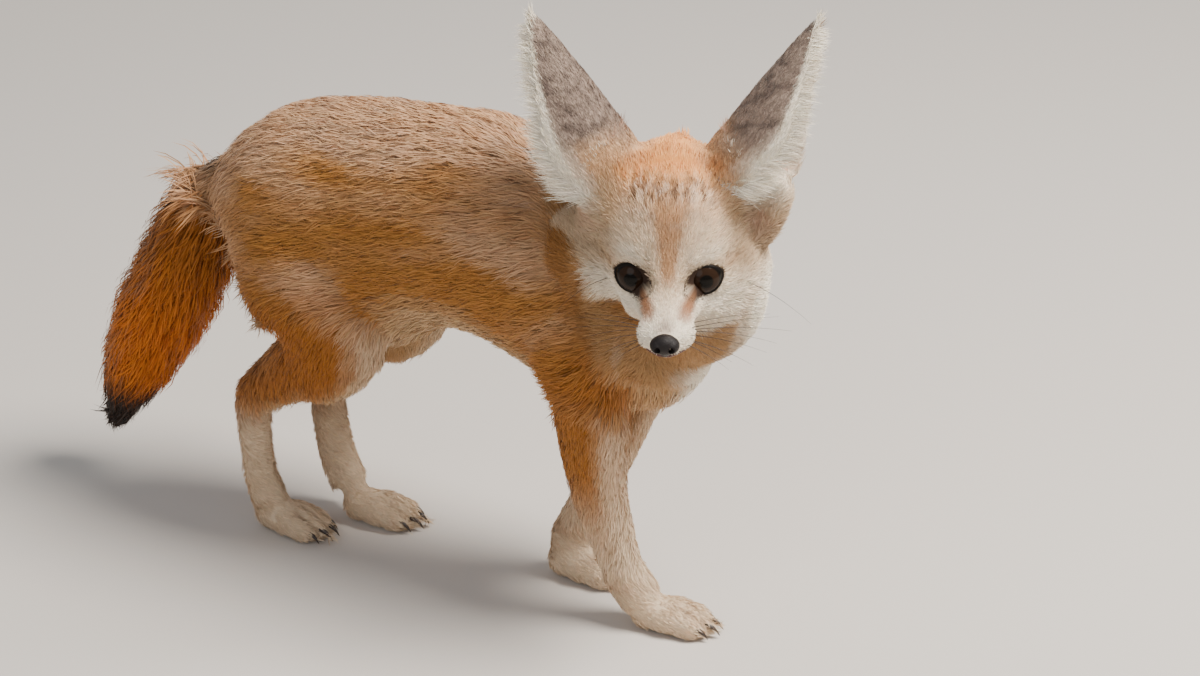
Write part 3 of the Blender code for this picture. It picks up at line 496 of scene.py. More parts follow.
def blurred(values, tri, rounds):
    """Values on the vertices, averaged with their neighbours' again and again."""
    a = np.concatenate([tri[:, 0], tri[:, 1], tri[:, 2]])
    b = np.concatenate([tri[:, 1], tri[:, 2], tri[:, 0]])
    count = np.bincount(a, minlength=len(values))[:, None] + 1
    for _ in range(rounds):
        total = values.copy()
        for k in range(values.shape[1]):
            total[:, k] += np.bincount(a, values[b, k], minlength=len(values))
        values = total / count
    return values


# Markings, in linear colours
SAND = (0.6, 0.355, 0.195)
GOLD = (0.42, 0.175, 0.032)
RUST = (0.37, 0.115, 0.01)
CREAM = (0.8, 0.62, 0.43)
WHITE = (0.92, 0.84, 0.7)
ORANGE = (0.84, 0.385, 0.12)
TAN = (0.56, 0.31, 0.155)
GREY = (0.36, 0.265, 0.21)
DARK = (0.04, 0.022, 0.014)
PINK = (0.56, 0.34, 0.24)
BELLY = (0.62, 0.41, 0.22)
# The chest's cream-white fur as it looks in shade: painted shade
CHEST_IN_PAINTED_SHADE = (0.46, 0.255, 0.105)
INNER_THIGH = (0.6, 0.38, 0.19)
# Painted shade in the grooves between the toes
TOE_GROOVE_SHADE = (0.4, 0.27, 0.17)
# The lower tail's orange: its own orange, brightened in part as painted light shining through the hair
TAIL_ORANGE_AND_GLOW = (0.66, 0.175, 0.01)
TAIL_TOP = (0.3, 0.125, 0.045)
# Painted shadow cast by the tail on the rump and on the back of the thigh
PAINTED_TAIL_SHADOW = (0.2, 0.065, 0.005)
FOREHEAD = (0.66, 0.36, 0.17)
STREAK = (0.14, 0.07, 0.04)
CROWN_ARC = (0.62, 0.215, 0.045)
EAR_ROOT = (0.74, 0.45, 0.22)
BROW_LINE = (0.2, 0.13, 0.09)
TEMPLE = (0.5, 0.34, 0.2)
CHEEK = (0.7, 0.6, 0.47)
TEAR = (0.34, 0.135, 0.05)
TEAR_TOP = (0.3, 0.14, 0.07)
MOUTH = (0.16, 0.08, 0.06)
# The neck's own ochre, and painted shade where it lies over the cream-white throat
THROAT = (0.42, 0.225, 0.085)
# Painted shade on the side of the throat turned away from the key light
THROAT_PAINTED_SHADE = (0.3, 0.125, 0.028)
EAR_STREAK = (0.12, 0.085, 0.07)
EAR_FOOT = (0.66, 0.4, 0.21)


# About one over the tail's length
SHARE_PER_METRE = 5.0


def tail_place(p):
    """Share of the tail's length nearest each point, and the way along there."""
    d = np.linalg.norm(p[:, None, :] - TAIL_LINE[None, ::2, :], axis=2)
    i = np.argmin(d, axis=1) * 2
    j = np.minimum(i + 1, len(TAIL_LINE) - 1)
    k = np.maximum(i - 1, 0)
    along = unit(TAIL_LINE[j] - TAIL_LINE[k])
    return TAIL_SHARE[i] + dot(p - TAIL_LINE[i], along) * SHARE_PER_METRE, along


def ear_place(p):
    """For the nearer ear: share of its length and of the way round its wall, its opening and its axis."""
    out = []
    starts = [row[0] for row in EAR_SECTIONS]
    spans = [row[3] for row in EAR_SECTIONS]
    for side, ear in EARS.items():
        base, axis = np.array(ear.base), np.array(ear.axis)
        t = (p - base) @ axis / (ear.tip - ear.base).length
        openings = np.array([ear.opening(x) for x in np.linspace(0, 1, 21)])
        opening = openings[np.clip((t * 20).astype(int), 0, 20)]
        centres = np.array([ear.centre(x) for x in np.linspace(-0.3, 1, 27)])
        centre = centres[np.clip(((t + 0.3) * 20).astype(int), 0, 26)]
        across = np.cross(axis, opening) * -side
        d = p - centre
        angle = np.arctan2(dot(d, across), -dot(d, opening))
        round_by = np.degrees(angle) / np.interp(t, starts, spans)
        out.append((t, round_by, opening, np.broadcast_to(axis, p.shape)))
    left = head_place(p)[:, 1] > 0
    return [np.where(left if a.ndim == 1 else left[:, None], b, a) for a, b in zip(*out)]


def patch(h, f, l, u, sizes):
    """1 at a place on the head, the same on both sides, falling to 0 past its three sizes."""
    d = (h[:, 0] - f) ** 2 / sizes[0] ** 2 + (np.abs(h[:, 1]) - l) ** 2 / sizes[1] ** 2
    return np.exp(-(d + (h[:, 2] - u) ** 2 / sizes[2] ** 2))


def streaks(p, scale, seed):
    """Smooth noise, drawn out along the body, from -1 to 1."""
    q = p * np.array(scale) + seed
    return np.array([noise.noise(Vector(v)) for v in q]) * 1.6


class Layers:
    """Colours at many points, laid one over another."""

    def __init__(self, base, count):
        self.colour = np.tile(np.array(base), (count, 1))

    def lay(self, tint, amount):
        amount = np.clip(amount, 0, 1)[:, None]
        self.colour = self.colour * (1 - amount) + np.array(tint) * amount


# The way toward the key light: the chest and throat are painted white on the side that faces it (painted
# light), and darker on the side turned away (painted shade)
KEY_LIGHT_SIDE = np.array((0.5, -0.866, 0.0))


def body_markings(coat, d, n, fine, broad):
    """A sandy back with grey-brown streaks, a golden flank, a cream belly, and a chest in painted shade,
    white only on its side toward the key light as painted light.
    """
    lay = coat.lay
    x, y, z = d.T
    up = n[:, 2]
    over_shoulder = ease(-y, 0.03, 0.06) * ease(z + broad * 0.012, 0.155, 0.18)
    low_front = ease(-y, 0.055, 0.085) * ease(0.19 - z, 0.0, 0.03)
    front = ease(-y + 0.35 * x, 0.08, 0.115)
    lay(SAND, ease(up + broad * 0.5, -0.1, 0.75) * 0.95)
    lay(SAND, over_shoulder * 0.75)
    lay(GREY, ease(up, 0.3, 0.9) * np.clip(fine * 0.6 + broad * 0.3 - 0.15, 0, 0.28))
    lay(RUST, ease(-up + broad * 0.2, -0.45, 0.15) * ease(0.15 - z, -0.02, 0.03) * 0.5)
    lay(RUST, np.clip(-fine * 0.5 - 0.1, 0, 0.4) * ease(up, -0.2, 0.4) * 0.6)
    lay(RUST, low_front * ease(-up, -0.5, 0.1) * 0.45)
    lay(BELLY, ease(-up, 0.25, 0.75))
    # Ochre on the front of the chest, whose own fur is cream-white: painted shade
    lay(CHEST_IN_PAINTED_SHADE, front * ease(-n[:, 1], -0.2, 0.5) * 0.85)
    # White on the side of the chest that faces the key light: its own white, laid only where light falls,
    # so partly painted light
    lay(WHITE, front * ease(n @ KEY_LIGHT_SIDE, 0.3, 0.75) * 0.95)


def leg_markings(coat, p, d, n, w):
    """Rusty outer thighs and upper arms, cream to the front, inside and below."""
    lay = coat.lay
    x, y, z = d.T
    fore, hind = w[:, 5], w[:, 6]
    outer = ease(np.abs(x) - 0.024, -0.006, 0.006)
    thigh = hind * ease(z, 0.055, 0.105)
    hock = hind * np.exp(-((z - 0.083) / 0.016) ** 2)
    # Rust on the outer and rear thigh: its own colour, partly darkened as painted shade
    lay(RUST, thigh * ease(n[:, 1] + 0.6 * np.abs(n[:, 0]), -0.2, 0.5) * 0.75)
    lay(INNER_THIGH, thigh * ease(np.abs(x), 0.04, 0.02) * 0.9)
    lay(GOLD, fore * ease(z, 0.05, 0.11) * 0.8)
    lay(RUST, fore * ease(z, 0.06, 0.12) * outer * 0.5)
    lay(CREAM, (fore + hind) * (1 - ease(z, 0.03, 0.085)) * 0.85)
    lay(CREAM, (fore + hind) * ease(-n[:, 1], 0.25, 0.8) * 0.7)
    lay(RUST, hock * ease(n[:, 1], 0.0, 0.6) * 0.7)
    lay(CREAM, w[:, 7] + w[:, 8])
    # Darker where the grooves between the toes are deep: painted shade
    lay(TOE_GROOVE_SHADE, np.clip(toe_grooves(p, n) / GROOVE_DEEP, 0, 1) * 0.6)


def tail_markings(coat, p, d, n, w, fine):
    """The rump, and the tail from brown-orange to a black tip, with a dark spot above its root, painted
    shadow beside the tail on the rump and thigh, and a lower tail brightened in part as painted light.
    """
    lay = coat.lay
    x, y, z = d.T
    share, _ = tail_place(p)
    body, hind, tail = w[:, 1] + w[:, 2], w[:, 6], w[:, 3]
    behind = ease(y, 0.095, 0.12) * ease(0.15 - z, 0.0, 0.03)
    spot = (x / 0.01) ** 2 + ((y - 0.152) / 0.014) ** 2 + ((z - 0.178) / 0.016) ** 2
    lay(SAND, body * ease(y, 0.1, 0.135) * 0.7)
    lay(RUST, tail)
    # Brighter orange on the lower tail: partly its own colour and partly painted light shining through it
    lay(TAIL_ORANGE_AND_GLOW, tail * ease(share, 0.25, 0.6) * 0.85)
    # Painted shadow on the low rump where the tail hangs past it
    lay(PAINTED_TAIL_SHADOW, body * behind * 0.6)
    # Painted shadow on the back of the thigh beside the tail
    lay(PAINTED_TAIL_SHADOW, hind * ease(y, 0.085, 0.115) * ease(z, 0.075, 0.1) * 0.6)
    lay(GREY, tail * np.clip(fine * 0.8 - 0.1, 0, 0.4) * ease(n[:, 1], -0.2, 0.5))
    lay(TAIL_TOP, tail * ease(n[:, 1], 0.1, 0.8) * 0.5)
    lay(DARK, tail * ease(share + fine * 0.03, 0.76, 0.86))
    lay(DARK, np.exp(-spot * 1.2) * 0.85)


# The jaw's line from behind to before
JAW_FORWARD = (-0.055, -0.045, -0.035, -0.02, 0.0, 0.035)
JAW_HEIGHT = (0.02, 0.004, -0.01, -0.02, -0.0255, -0.025)
# The face's half width, and that of its middle stripe, from the chin up to the ears
FACE_HEIGHT = (-0.04, -0.022, -0.016, -0.006, 0.006, 0.018, 0.03)
FACE_HALF = (0.012, 0.0165, 0.029, 0.036, 0.04, 0.044, 0.06)
STRIPE_HEIGHT = (-0.004, 0.01, 0.034, 0.046)
STRIPE_HALF = (0.0022, 0.004, 0.0085, 0.014)
STREAK_APART = 0.0062
# The tear mark runs from the eye's inner corner down beside the muzzle
TEAR_ENDS = np.array(((0.003, 0.0098, -0.002), (0.0235, 0.008, -0.0042)))


def forehead_markings(coat, h, q, fine):
    """The middle stripe, the forehead's streaks and the orange crown."""
    lay = coat.lay
    l = np.abs(h[:, 1])
    half = np.interp(q, STRIPE_HEIGHT, STRIPE_HALF)
    waves = np.sin(h[:, 1] * 2 * math.pi / STREAK_APART + fine * 2.2)
    streaked = ease(q, 0.03, 0.038) * (1 - ease(q, 0.051, 0.056)) * (1 - ease(l, 0.016, 0.024))
    arc = np.exp(-(((q - 0.0535) / 0.0035) ** 2))
    lay(TAN, (1 - ease(l, half * 0.5, half * 1.5)) * ease(q, -0.006, 0.004) * 0.95)
    lay(FOREHEAD, ease(q, 0.02, 0.044) * (1 - ease(l, 0.024, 0.036)) * 0.85)
    lay(STREAK, streaked * np.clip(waves, 0, 1) * 1.1)
    lay(WHITE, streaked * np.clip(-waves - 0.35, 0, 0.65) * 0.6)
    lay(GREY, np.clip(fine - 0.15, 0, 0.5) * ease(q, 0.01, 0.022) * (1 - ease(q, 0.048, 0.054)) * 0.7)
    lay(ORANGE, ease(q + fine * 0.003, 0.04, 0.0525) * (1 - ease(l, 0.03, 0.042)))
    lay(CROWN_ARC, arc * (1 - ease(l, 0.026, 0.036)) * 0.6)


def tear_markings(coat, h):
    lay = coat.lay
    face = np.stack([h[:, 0], np.abs(h[:, 1]), h[:, 2]], 1)
    along = TEAR_ENDS[1] - TEAR_ENDS[0]
    run = np.clip((face - TEAR_ENDS[0]) @ along / (along ** 2).sum(), 0, 1)
    away = np.linalg.norm(face - TEAR_ENDS[0] - run[:, None] * along, axis=1)
    lay(TEAR, (1 - ease(away, 0.0014, 0.0054)) * 0.95)
    lay(TEAR_TOP, (1 - ease(away, 0.0005, 0.0026)) * (1 - run) * 0.55)


# Shares of up and of forward in the height of a point on the face
FACE_UP = 0.839
FACE_AHEAD = 0.545


def head_markings(p, h, n, fine):
    """The head's colours. q is the height of a point on the face as seen from before and above."""
    f, l, u = h[:, 0], np.abs(h[:, 1]), h[:, 2]
    q = FACE_UP * u - FACE_AHEAD * f
    coat = Layers(CREAM, len(p))
    lay = coat.lay
    lay(WHITE, ease(-u, -0.006, 0.006) * 0.55)
    forehead_markings(coat, h, q, fine)
    lay(EAR_ROOT, patch(h, -0.03, 0.027, 0.026, (0.016, 0.007, 0.01)) * 0.75)
    lay(WHITE, patch(h, -0.006, 0.015, 0.0135, (0.012, 0.0075, 0.004)) * 0.9)
    lay(BROW_LINE, patch(h, 0.0005, 0.0092, 0.011, (0.0055, 0.0013, 0.0055)) * 0.75)
    lay(TAN, patch(h, -0.016, 0.028, 0.006, (0.01, 0.005, 0.0028)) * 0.8)
    lay(WHITE, patch(h, -0.006, 0.021, -0.01, (0.02, 0.012, 0.0065)) * 0.85)
    tear_markings(coat, h)
    lay(WHITE, patch(h, 0.029, 0.006, -0.009, (0.0085, 0.0075, 0.006)) * 0.95)
    lay(GREY, patch(h, 0.0325, 0.0, -0.0035, (0.006, 0.0036, 0.0034)) * 0.85)
    lay(TEMPLE, ease(l, 0.021, 0.031) * ease(q, -0.002, 0.012) * 0.75)
    lay(CHEEK, patch(h, -0.022, 0.033, -0.008, (0.016, 0.008, 0.007)) * 0.8)
    lay(PINK, patch(h, -0.026, 0.04, 0.018, (0.008, 0.006, 0.007)) * 0.55)
    for side in SIDES:
        rim = almond(p, side)
        lay(DARK, (1 - ease(rim, 1.12, 1.3)) * (rim < 3))
    lay(DARK, patch(h, 0.0045, 0.0092, -0.004, (0.004, 0.002, 0.0024)) * 1.1)
    lay(MOUTH, patch(h, 0.031, 0.004, -0.0172, (0.008, 0.006, 0.0014)) * 0.8)
    # Below and behind the face the throat's colours begin
    jaw = np.interp(f, JAW_FORWARD, JAW_HEIGHT)
    cheek = np.interp(q + fine * 0.0012, FACE_HEIGHT, FACE_HALF)
    within = 1 - ease(l + fine * 0.001, cheek - 0.0015, cheek + 0.0045)
    below = 1 - ease(u - jaw, -0.0035, 0.0025) * within
    # The neck's ochre, laid also over the throat, whose own fur is cream-white: there it is painted shade
    lay(THROAT, below * 0.97)
    # Darker on the side turned away from the key light: painted shade
    lay(THROAT_PAINTED_SHADE, below * ease(-n @ KEY_LIGHT_SIDE, 0.0, 0.55))
    # White on the side that faces the key light: the throat's own white, laid only where light falls, so
    # partly painted light
    lay(WHITE, below * ease(n @ KEY_LIGHT_SIDE, 0.15, 0.7))
    lay(SAND, ease(-f, 0.052, 0.066) * ease(u, 0.0, 0.02))
    return coat.colour


def ear_markings(p, n, fine, broad):
    """Grey-brown backs that turn orange at the foot, white rims, pinkish within."""
    t, round_by, opening, _ = ear_place(p)
    inner = ease(dot(n, opening) + 0.35, 0.1, 0.6) * (np.abs(round_by) < 1.02)
    coat = Layers(np.array(GREY) * 0.86, len(p))
    lay = coat.lay
    lay(EAR_STREAK, np.clip(fine * 1.6 - 0.05, 0, 0.75))
    lay(EAR_FOOT, 1 - ease(t + broad * 0.06, 0.08, 0.36))
    lay(PINK, inner * 0.9)
    lay(WHITE, ease(round_by, 0.86, 0.92) + inner * ease(round_by, 0.3, 0.6))
    lay(WHITE, ease(-round_by, 0.9, 0.99) * 0.7)
    lay(WHITE, ease(t, 0.95, 0.985))
    lay(WHITE, ease(-t, 0.02, 0.14) * ease(round_by, 0.45, 0.7) * 0.8)
    return coat.colour


def markings(p, n, w):
    """The coat's colour at points p with normals n and part weights w."""
    d = p - np.array(SHIFT)
    h = head_place(p)
    fine = streaks(p, (260, 70, 260), 3.1)
    broad = streaks(p, (60, 22, 60), 9.7)
    coat = Layers(GOLD, len(p))
    body_markings(coat, d, n, fine, broad)
    leg_markings(coat, p, d, n, w)
    tail_markings(coat, p, d, n, w, fine)
    head = w[:, 0]
    colour = coat.colour * (1 - head[:, None]) + head_markings(p, h, n, fine) * head[:, None]
    ear = w[:, 4] + head * ease(h[:, 2], 0.02, 0.036) * ease(np.abs(h[:, 1]), 0.03, 0.04)
    ear = np.clip(ear, 0, 1)[:, None]
    colour = colour * (1 - ear) + ear_markings(p, n, fine, broad) * ear
    return np.clip(colour, 0.004, 0.95)


# The lie of the coat
def lie(p, n, w):
    """The way the coat lies at each point, along the surface."""
    d = p - np.array(SHIFT)
    h = head_place(p)
    f, l, u = h[:, 0], h[:, 1], h[:, 2]
    ones = np.ones(len(p))
    none = np.zeros(len(p))
    down = ease(-d[:, 1], 0.075, 0.115)
    body = np.stack([none, ones * (1 - 0.75 * down), -0.28 - 1.3 * down], 1)
    rump = ease(d[:, 1], 0.085, 0.125)
    body[:, 2] -= rump * 0.7
    neck = np.stack([ones * 0.12, 0.75 - 0.6 * down, -0.55 - 0.5 * down], 1)
    leg = np.stack([none, ones * 0.1, -ones], 1)
    thigh = np.stack([none, ones * 0.75, -ones], 1) * ease(d[:, 2], 0.09, 0.13)[:, None]
    paw = np.stack([none, -ones, -0.25 * ones], 1)
    out = np.sign(l) * ease(np.abs(l), 0.006, 0.022)
    low = ease(-u, -0.004, 0.012)
    back = np.stack([-ones, out * (0.55 + 0.35 * low), 0.35 * (1 - low) - 0.55 * low], 1)
    back[:, 2] += ease(u, 0.022, 0.034) * 0.15
    head = back @ HEAD
    _, along = tail_place(p)
    _, _, opening, axis = ear_place(p)
    flow = (
        w[:, 0:1] * head
        + w[:, 1:2] * neck
        + w[:, 2:3] * body
        + w[:, 3:4] * along
        + w[:, 4:5] * (axis + opening * 0.12)
        + w[:, 5:6] * leg
        + w[:, 6:7] * (leg + thigh)
        + (w[:, 7:8] + w[:, 8:9]) * paw
    )
    root = w[:, 0] * ease(u, 0.024, 0.036) * ease(np.abs(l), 0.024, 0.036)
    flow = flow * (1 - root[:, None] * 0.8) + axis * root[:, None] * 0.8
    flow = flow - n * dot(flow, n)[:, None]
    return unit(flow)


# The coat's tufts
BLADES = 3
FACE_DENSER = 0.9
EAR_TUFTS = 1150
# Scale of a blade's colour at its root and at its tip: painted shade deep in the coat, and painted light at
# the tips
ROOT_PAINTED_SHADE = 0.84
TIP_PAINTED_LIGHT = 1.04
ROOT_SINK = 0.0006
# How far a tuft's blades stand apart, in blade widths, and a blade's width along its length
TUFT_SPREAD = 2.2
BLADE_ALONG = (0, 0.35, 0.75, 1)
BLADE_WIDE = (0.75, 1.0, 0.72, 0.06)
# Share of a tuft's length at which its colour is chosen
SEEN_AT = 0.6
# Half of a tuft's patch on its OFBake map
UV_HALF = 0.0012


def tuft_roots(co, tri, nor, weights, uv):
    """Roots of the coat's tufts: place, normal, weights, and place on the skin's unwrap."""
    a, b, c = co[tri[:, 0]], co[tri[:, 1]], co[tri[:, 2]]
    area = np.linalg.norm(np.cross(b - a, c - a), axis=1) / 2 * 1e6
    mean = weights[tri].mean(1)
    density = mean @ DENSITY
    mid = (a + b + c) / 3
    h = head_place(mid)
    face = mean[:, 0] * ease(h[:, 0], -0.035, 0.005)
    density *= 1 + FACE_DENSER * face
    want = area * density * 1.0
    count = np.floor(want + RNG.random(len(want))).astype(int)
    pick = np.repeat(np.arange(len(tri)), count)
    r = RNG.random((len(pick), 2))
    flip = r.sum(1) > 1
    r[flip] = 1 - r[flip]
    bary = np.stack([1 - r.sum(1), r[:, 0], r[:, 1]], 1)

    def blend(values):
        return np.einsum("ij,ijk->ik", bary, values)

    place = blend(co[tri[pick]])
    normal = unit(blend(nor[tri[pick]]))
    weight = blend(weights[tri[pick]])
    where = blend(uv[pick])
    return place, normal, weight, where


def sizes(p, n, w):
    """Length, height and width of the tufts rooted at each point."""
    long, high, wide = w @ LENGTH, w @ HEIGHT, w @ WIDTH
    h = head_place(p)
    f, l, u = h[:, 0], np.abs(h[:, 1]), h[:, 2]
    head = np.clip(w[:, 0], 0, 1)
    near = ease(f, -0.02, 0.02) * head
    long *= 1 - 0.58 * near
    high *= 1 - 0.6 * near
    wide *= 1 - 0.25 * near
    for side in SIDES:
        rim = 1 - ease(almond(p, side), 1.1, 2.0)
        long *= 1 - 0.45 * rim
        high *= 1 - 0.6 * rim
    ruff = head * ease(-f, 0.01, 0.035) * ease(-u, -0.008, 0.012)
    long *= 1 + 0.55 * ruff
    high *= 1 + 0.7 * ruff
    crown = head * ease(u, 0.026, 0.036) * (1 - ease(l, 0.01, 0.02))
    high *= 1 - 0.5 * crown
    d = p - np.array(SHIFT)
    belly = w[:, 2] * ease(-n[:, 2], 0.3, 0.9)
    long *= 1 - 0.25 * belly
    share, _ = tail_place(p)
    tail = w[:, 3]
    ahead = np.clip(share + 0.13, 0, 1)
    core = np.interp(share, TAIL_SHARE, CORE_RADII)
    room = np.maximum(np.interp(ahead, TAIL_SHARE, TAIL_REACH) * 0.97 - core, 0.002)
    taper = ease(1 - share, 0.0, 0.3)
    room *= 0.45 + 0.55 * ease(share, 0.02, 0.22)
    high = high * (1 - tail) + tail * room
    long = long * (1 - tail) + tail * (0.012 + 0.016 * taper) * (0.4 + 0.6 * ease(share, 0.0, 0.2))
    t, round_by, opening, _ = ear_place(p)
    within = w[:, 4] * ease(dot(n, opening), 0.0, 0.5) * (np.abs(round_by) < 0.95)
    long *= 1 + 0.6 * within
    return long, high, wide


def blades(p, n, t, long, high, wide, colour, uv, rows, seed, spread=1.0, wild=1.0, hug=0.0):
    """Blades of hair in tufts, as arrays: several thin tapered strips to each root."""
    rng = np.random.default_rng(seed)
    count = len(p)
    side = np.cross(n, t)
    yaw = rng.normal(0, 0.12 * wild, count)
    t = t * np.cos(yaw)[:, None] + side * np.sin(yaw)[:, None]
    side = np.cross(n, t)
    tuft_long = long * rng.uniform(0.8, 1.2, count)
    tuft_high = high * rng.uniform(0.7, 1.25, count)
    tint = colour * rng.uniform(0.93, 1.07, (count, 1)) * (1 + rng.normal(0, 0.015, (count, 3)))
    bend = rng.normal(0, 0.1 * wild, count)
    s = np.linspace(0, 1, rows)
    shape = np.interp(s, BLADE_ALONG, BLADE_WIDE)
    verts, tints, uvs = [], [], []
    for _ in range(BLADES):
        gap = wide * TUFT_SPREAD * spread
        off = rng.normal(0, 1, (count, 2)) * gap[:, None]
        draw = rng.uniform(0.15, 0.75, count)
        own = tuft_long * rng.uniform(0.72, 1.08, count)
        rise = tuft_high * rng.uniform(0.8, 1.1, count)
        turn = rng.normal(0, 0.05 * wild, count)
        twist = rng.normal(0, 0.55, count)
        flat = side * np.cos(twist)[:, None] + n * np.sin(twist)[:, None]
        shade = rng.uniform(0.93, 1.07, count)
        for k, x in enumerate(s):
            lift = rise * (1 - (1 - x) ** 1.9) - ROOT_SINK * (1 - x) - hug * (own * x) ** 2 / 2
            sway = off[:, 0] * (1 - x * draw) + own * (turn * x + bend * x * x)
            mid = p + t * (own * x + off[:, 1])[:, None] + n * lift[:, None] + side * sway[:, None]
            half = flat * (wide * 0.5 * shape[k])[:, None]
            # Darker at the root and lighter at the tip: painted shade and painted light
            tone = tint * ((ROOT_PAINTED_SHADE + (TIP_PAINTED_LIGHT - ROOT_PAINTED_SHADE) * x) * shade)[:, None]
            aside = (0.0,) if k == rows - 1 else (-1.0, 1.0)
            for way in aside:
                verts.append(mid + half * way)
                tints.append(tone)
                uvs.append(uv + np.array((way * UV_HALF, (2 * x - 1) * UV_HALF)))
    verts = np.stack(verts, 1).reshape(-1, 3)
    tints = np.stack(tints, 1).reshape(-1, 3)
    uvs = np.stack(uvs, 1).reshape(-1, 2)
    strip = []
    for k in range(rows - 2):
        strip += [(2 * k, 2 * k + 1, 2 * k + 3), (2 * k, 2 * k + 3, 2 * k + 2)]
    strip.append((2 * rows - 4, 2 * rows - 3, 2 * rows - 2))
    corners = 2 * rows - 1
    one = np.concatenate([np.array(strip) + b * corners for b in range(BLADES)])
    faces = (np.arange(count)[:, None, None] * (corners * BLADES) + one[None]).reshape(-1, 3)
    return verts, faces, tints, uvs


def coat_piece(name, made, material):
    """A mesh object from arrays of triangles, with its colours and its OFBake map."""
    verts, faces, tints, uvs = made
    mesh = bpy.data.meshes.new(name)
    mesh.vertices.add(len(verts))
    mesh.vertices.foreach_set("co", verts.astype(np.float32).ravel())
    mesh.loops.add(faces.size)
    mesh.loops.foreach_set("vertex_index", faces.astype(np.int32).ravel())
    mesh.polygons.add(len(faces))
    mesh.polygons.foreach_set("loop_start", np.arange(0, faces.size, 3, dtype=np.int32))
    mesh.polygons.foreach_set("use_smooth", np.ones(len(faces), bool))
    mesh.update(calc_edges=True)
    paint(mesh, tints)
    layer = mesh.uv_layers.new(name="OFBake")
    layer.data.foreach_set("uv", np.clip(uvs, 0.001, 0.999)[faces.ravel()].astype(np.float32).ravel())
    obj = bpy.data.objects.new(name, mesh)
    bpy.context.scene.collection.objects.link(obj)
    mesh.materials.append(material)
    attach(obj, "root")
    return obj


def paint(mesh, tints):
    layer = mesh.color_attributes.new("tint", "FLOAT_COLOR", "POINT")
    full = np.ones((len(tints), 4), np.float32)
    full[:, :3] = tints
    layer.data.foreach_set("color", full.ravel())
    return mesh


# Materials
def shader(name, colour=(0.5, 0.5, 0.5), rough=0.6, tint=False, bump=None, **sockets):
    """A principled material, with the painted tint and a fine procedural bump where asked."""
    made = bpy.data.materials.new(name)
    made.use_nodes = True
    nodes, links = made.node_tree.nodes, made.node_tree.links
    main = nodes["Principled BSDF"]
    main.inputs["Base Color"].default_value = (*colour, 1)
    main.inputs["Roughness"].default_value = rough
    for socket, value in sockets.items():
        main.inputs[socket.replace("_", " ")].default_value = value
    if tint:
        source = nodes.new("ShaderNodeAttribute")
        source.attribute_name = "tint"
        links.new(source.outputs["Color"], main.inputs["Base Color"])
    if bump:
        scale, depth = bump
        grain = nodes.new("ShaderNodeTexNoise")
        grain.inputs["Scale"].default_value = scale
        grain.inputs["Detail"].default_value = 4
        place = nodes.new("ShaderNodeTexCoord")
        links.new(place.outputs["Object"], grain.inputs["Vector"])
        relief = nodes.new("ShaderNodeBump")
        relief.inputs["Distance"].default_value = depth
        relief.inputs["Strength"].default_value = 0.6
        links.new(grain.outputs["Fac"], relief.inputs["Height"])
        links.new(relief.outputs["Normal"], main.inputs["Normal"])
    return made


HAIR = shader(
    "hair", rough=0.62, tint=True, Specular_IOR_Level=0.25, Sheen_Weight=0.25, Sheen_Roughness=0.4,
)
SKIN = shader("skin", rough=0.9, tint=True, bump=(1400, 0.0004), Specular_IOR_Level=0.2)
EYE = shader("eye", rough=0.03, tint=True, Specular_IOR_Level=0.14)
LID = shader("lid", rough=0.55, tint=True, bump=(2600, 0.0002), Specular_IOR_Level=0.12)
NOSE = shader("nose", (0.01, 0.007, 0.007), 0.45, bump=(3200, 0.0004), Specular_IOR_Level=0.25)
LIP = shader("lip", (0.11, 0.035, 0.03), 0.5)
CLAW = shader("claw", (0.05, 0.035, 0.028), 0.4)
WHISKER = shader("whisker", (0.012, 0.01, 0.01), 0.4)

# Build
# The skin's colour is the coat's markings darkened by this share: painted shade under the coat
SKIN_PAINTED_SHADE = 0.85
# Room that the tufts leave round the lids, for their roots and for their tips, as almond() measures it
LID_ROOM = (1.1, 1.06)
# Room round the nose, as a share of its size, and round the mouth and above the floor, in metres
NOSE_ROOM = 1.12
MOUTH_ROOM = 0.0013
FLOOR_ROOM = 0.0012
# Share of a tuft's length that is kept clear of them, and the most triangles in one piece
CLEAR_TO = 0.8
MOST_TRIANGLES = 190000

skin, co, tri, nor, weights = build_skin()
skin.data.materials.append(SKIN)
# Skin painted darker than the coat: painted shade beneath the tufts
paint(skin.data, markings(co, nor, weights) * SKIN_PAINTED_SHADE)
skin.data.uv_layers.new(name="OFBake")
bpy.context.view_layer.objects.active = skin
skin.select_set(True)
bpy.ops.object.mode_set(mode="EDIT")
bpy.ops.mesh.select_all(action="SELECT")
bpy.ops.uv.smart_project(angle_limit=math.radians(66), island_margin=0.002)
bpy.ops.object.mode_set(mode="OBJECT")
uv = np.empty(len(skin.data.loops) * 2, np.float32)
skin.data.uv_layers["OFBake"].data.foreach_get("uv", uv)
uv = uv.reshape(-1, 3, 2).astype(float)
co, tri, nor = arrays(skin.data)
skin.data.polygons.foreach_set("use_smooth", [True] * len(skin.data.polygons))
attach(skin, "root")
flesh = [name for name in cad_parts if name.split("_")[0] in GROUPS]
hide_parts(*flesh)

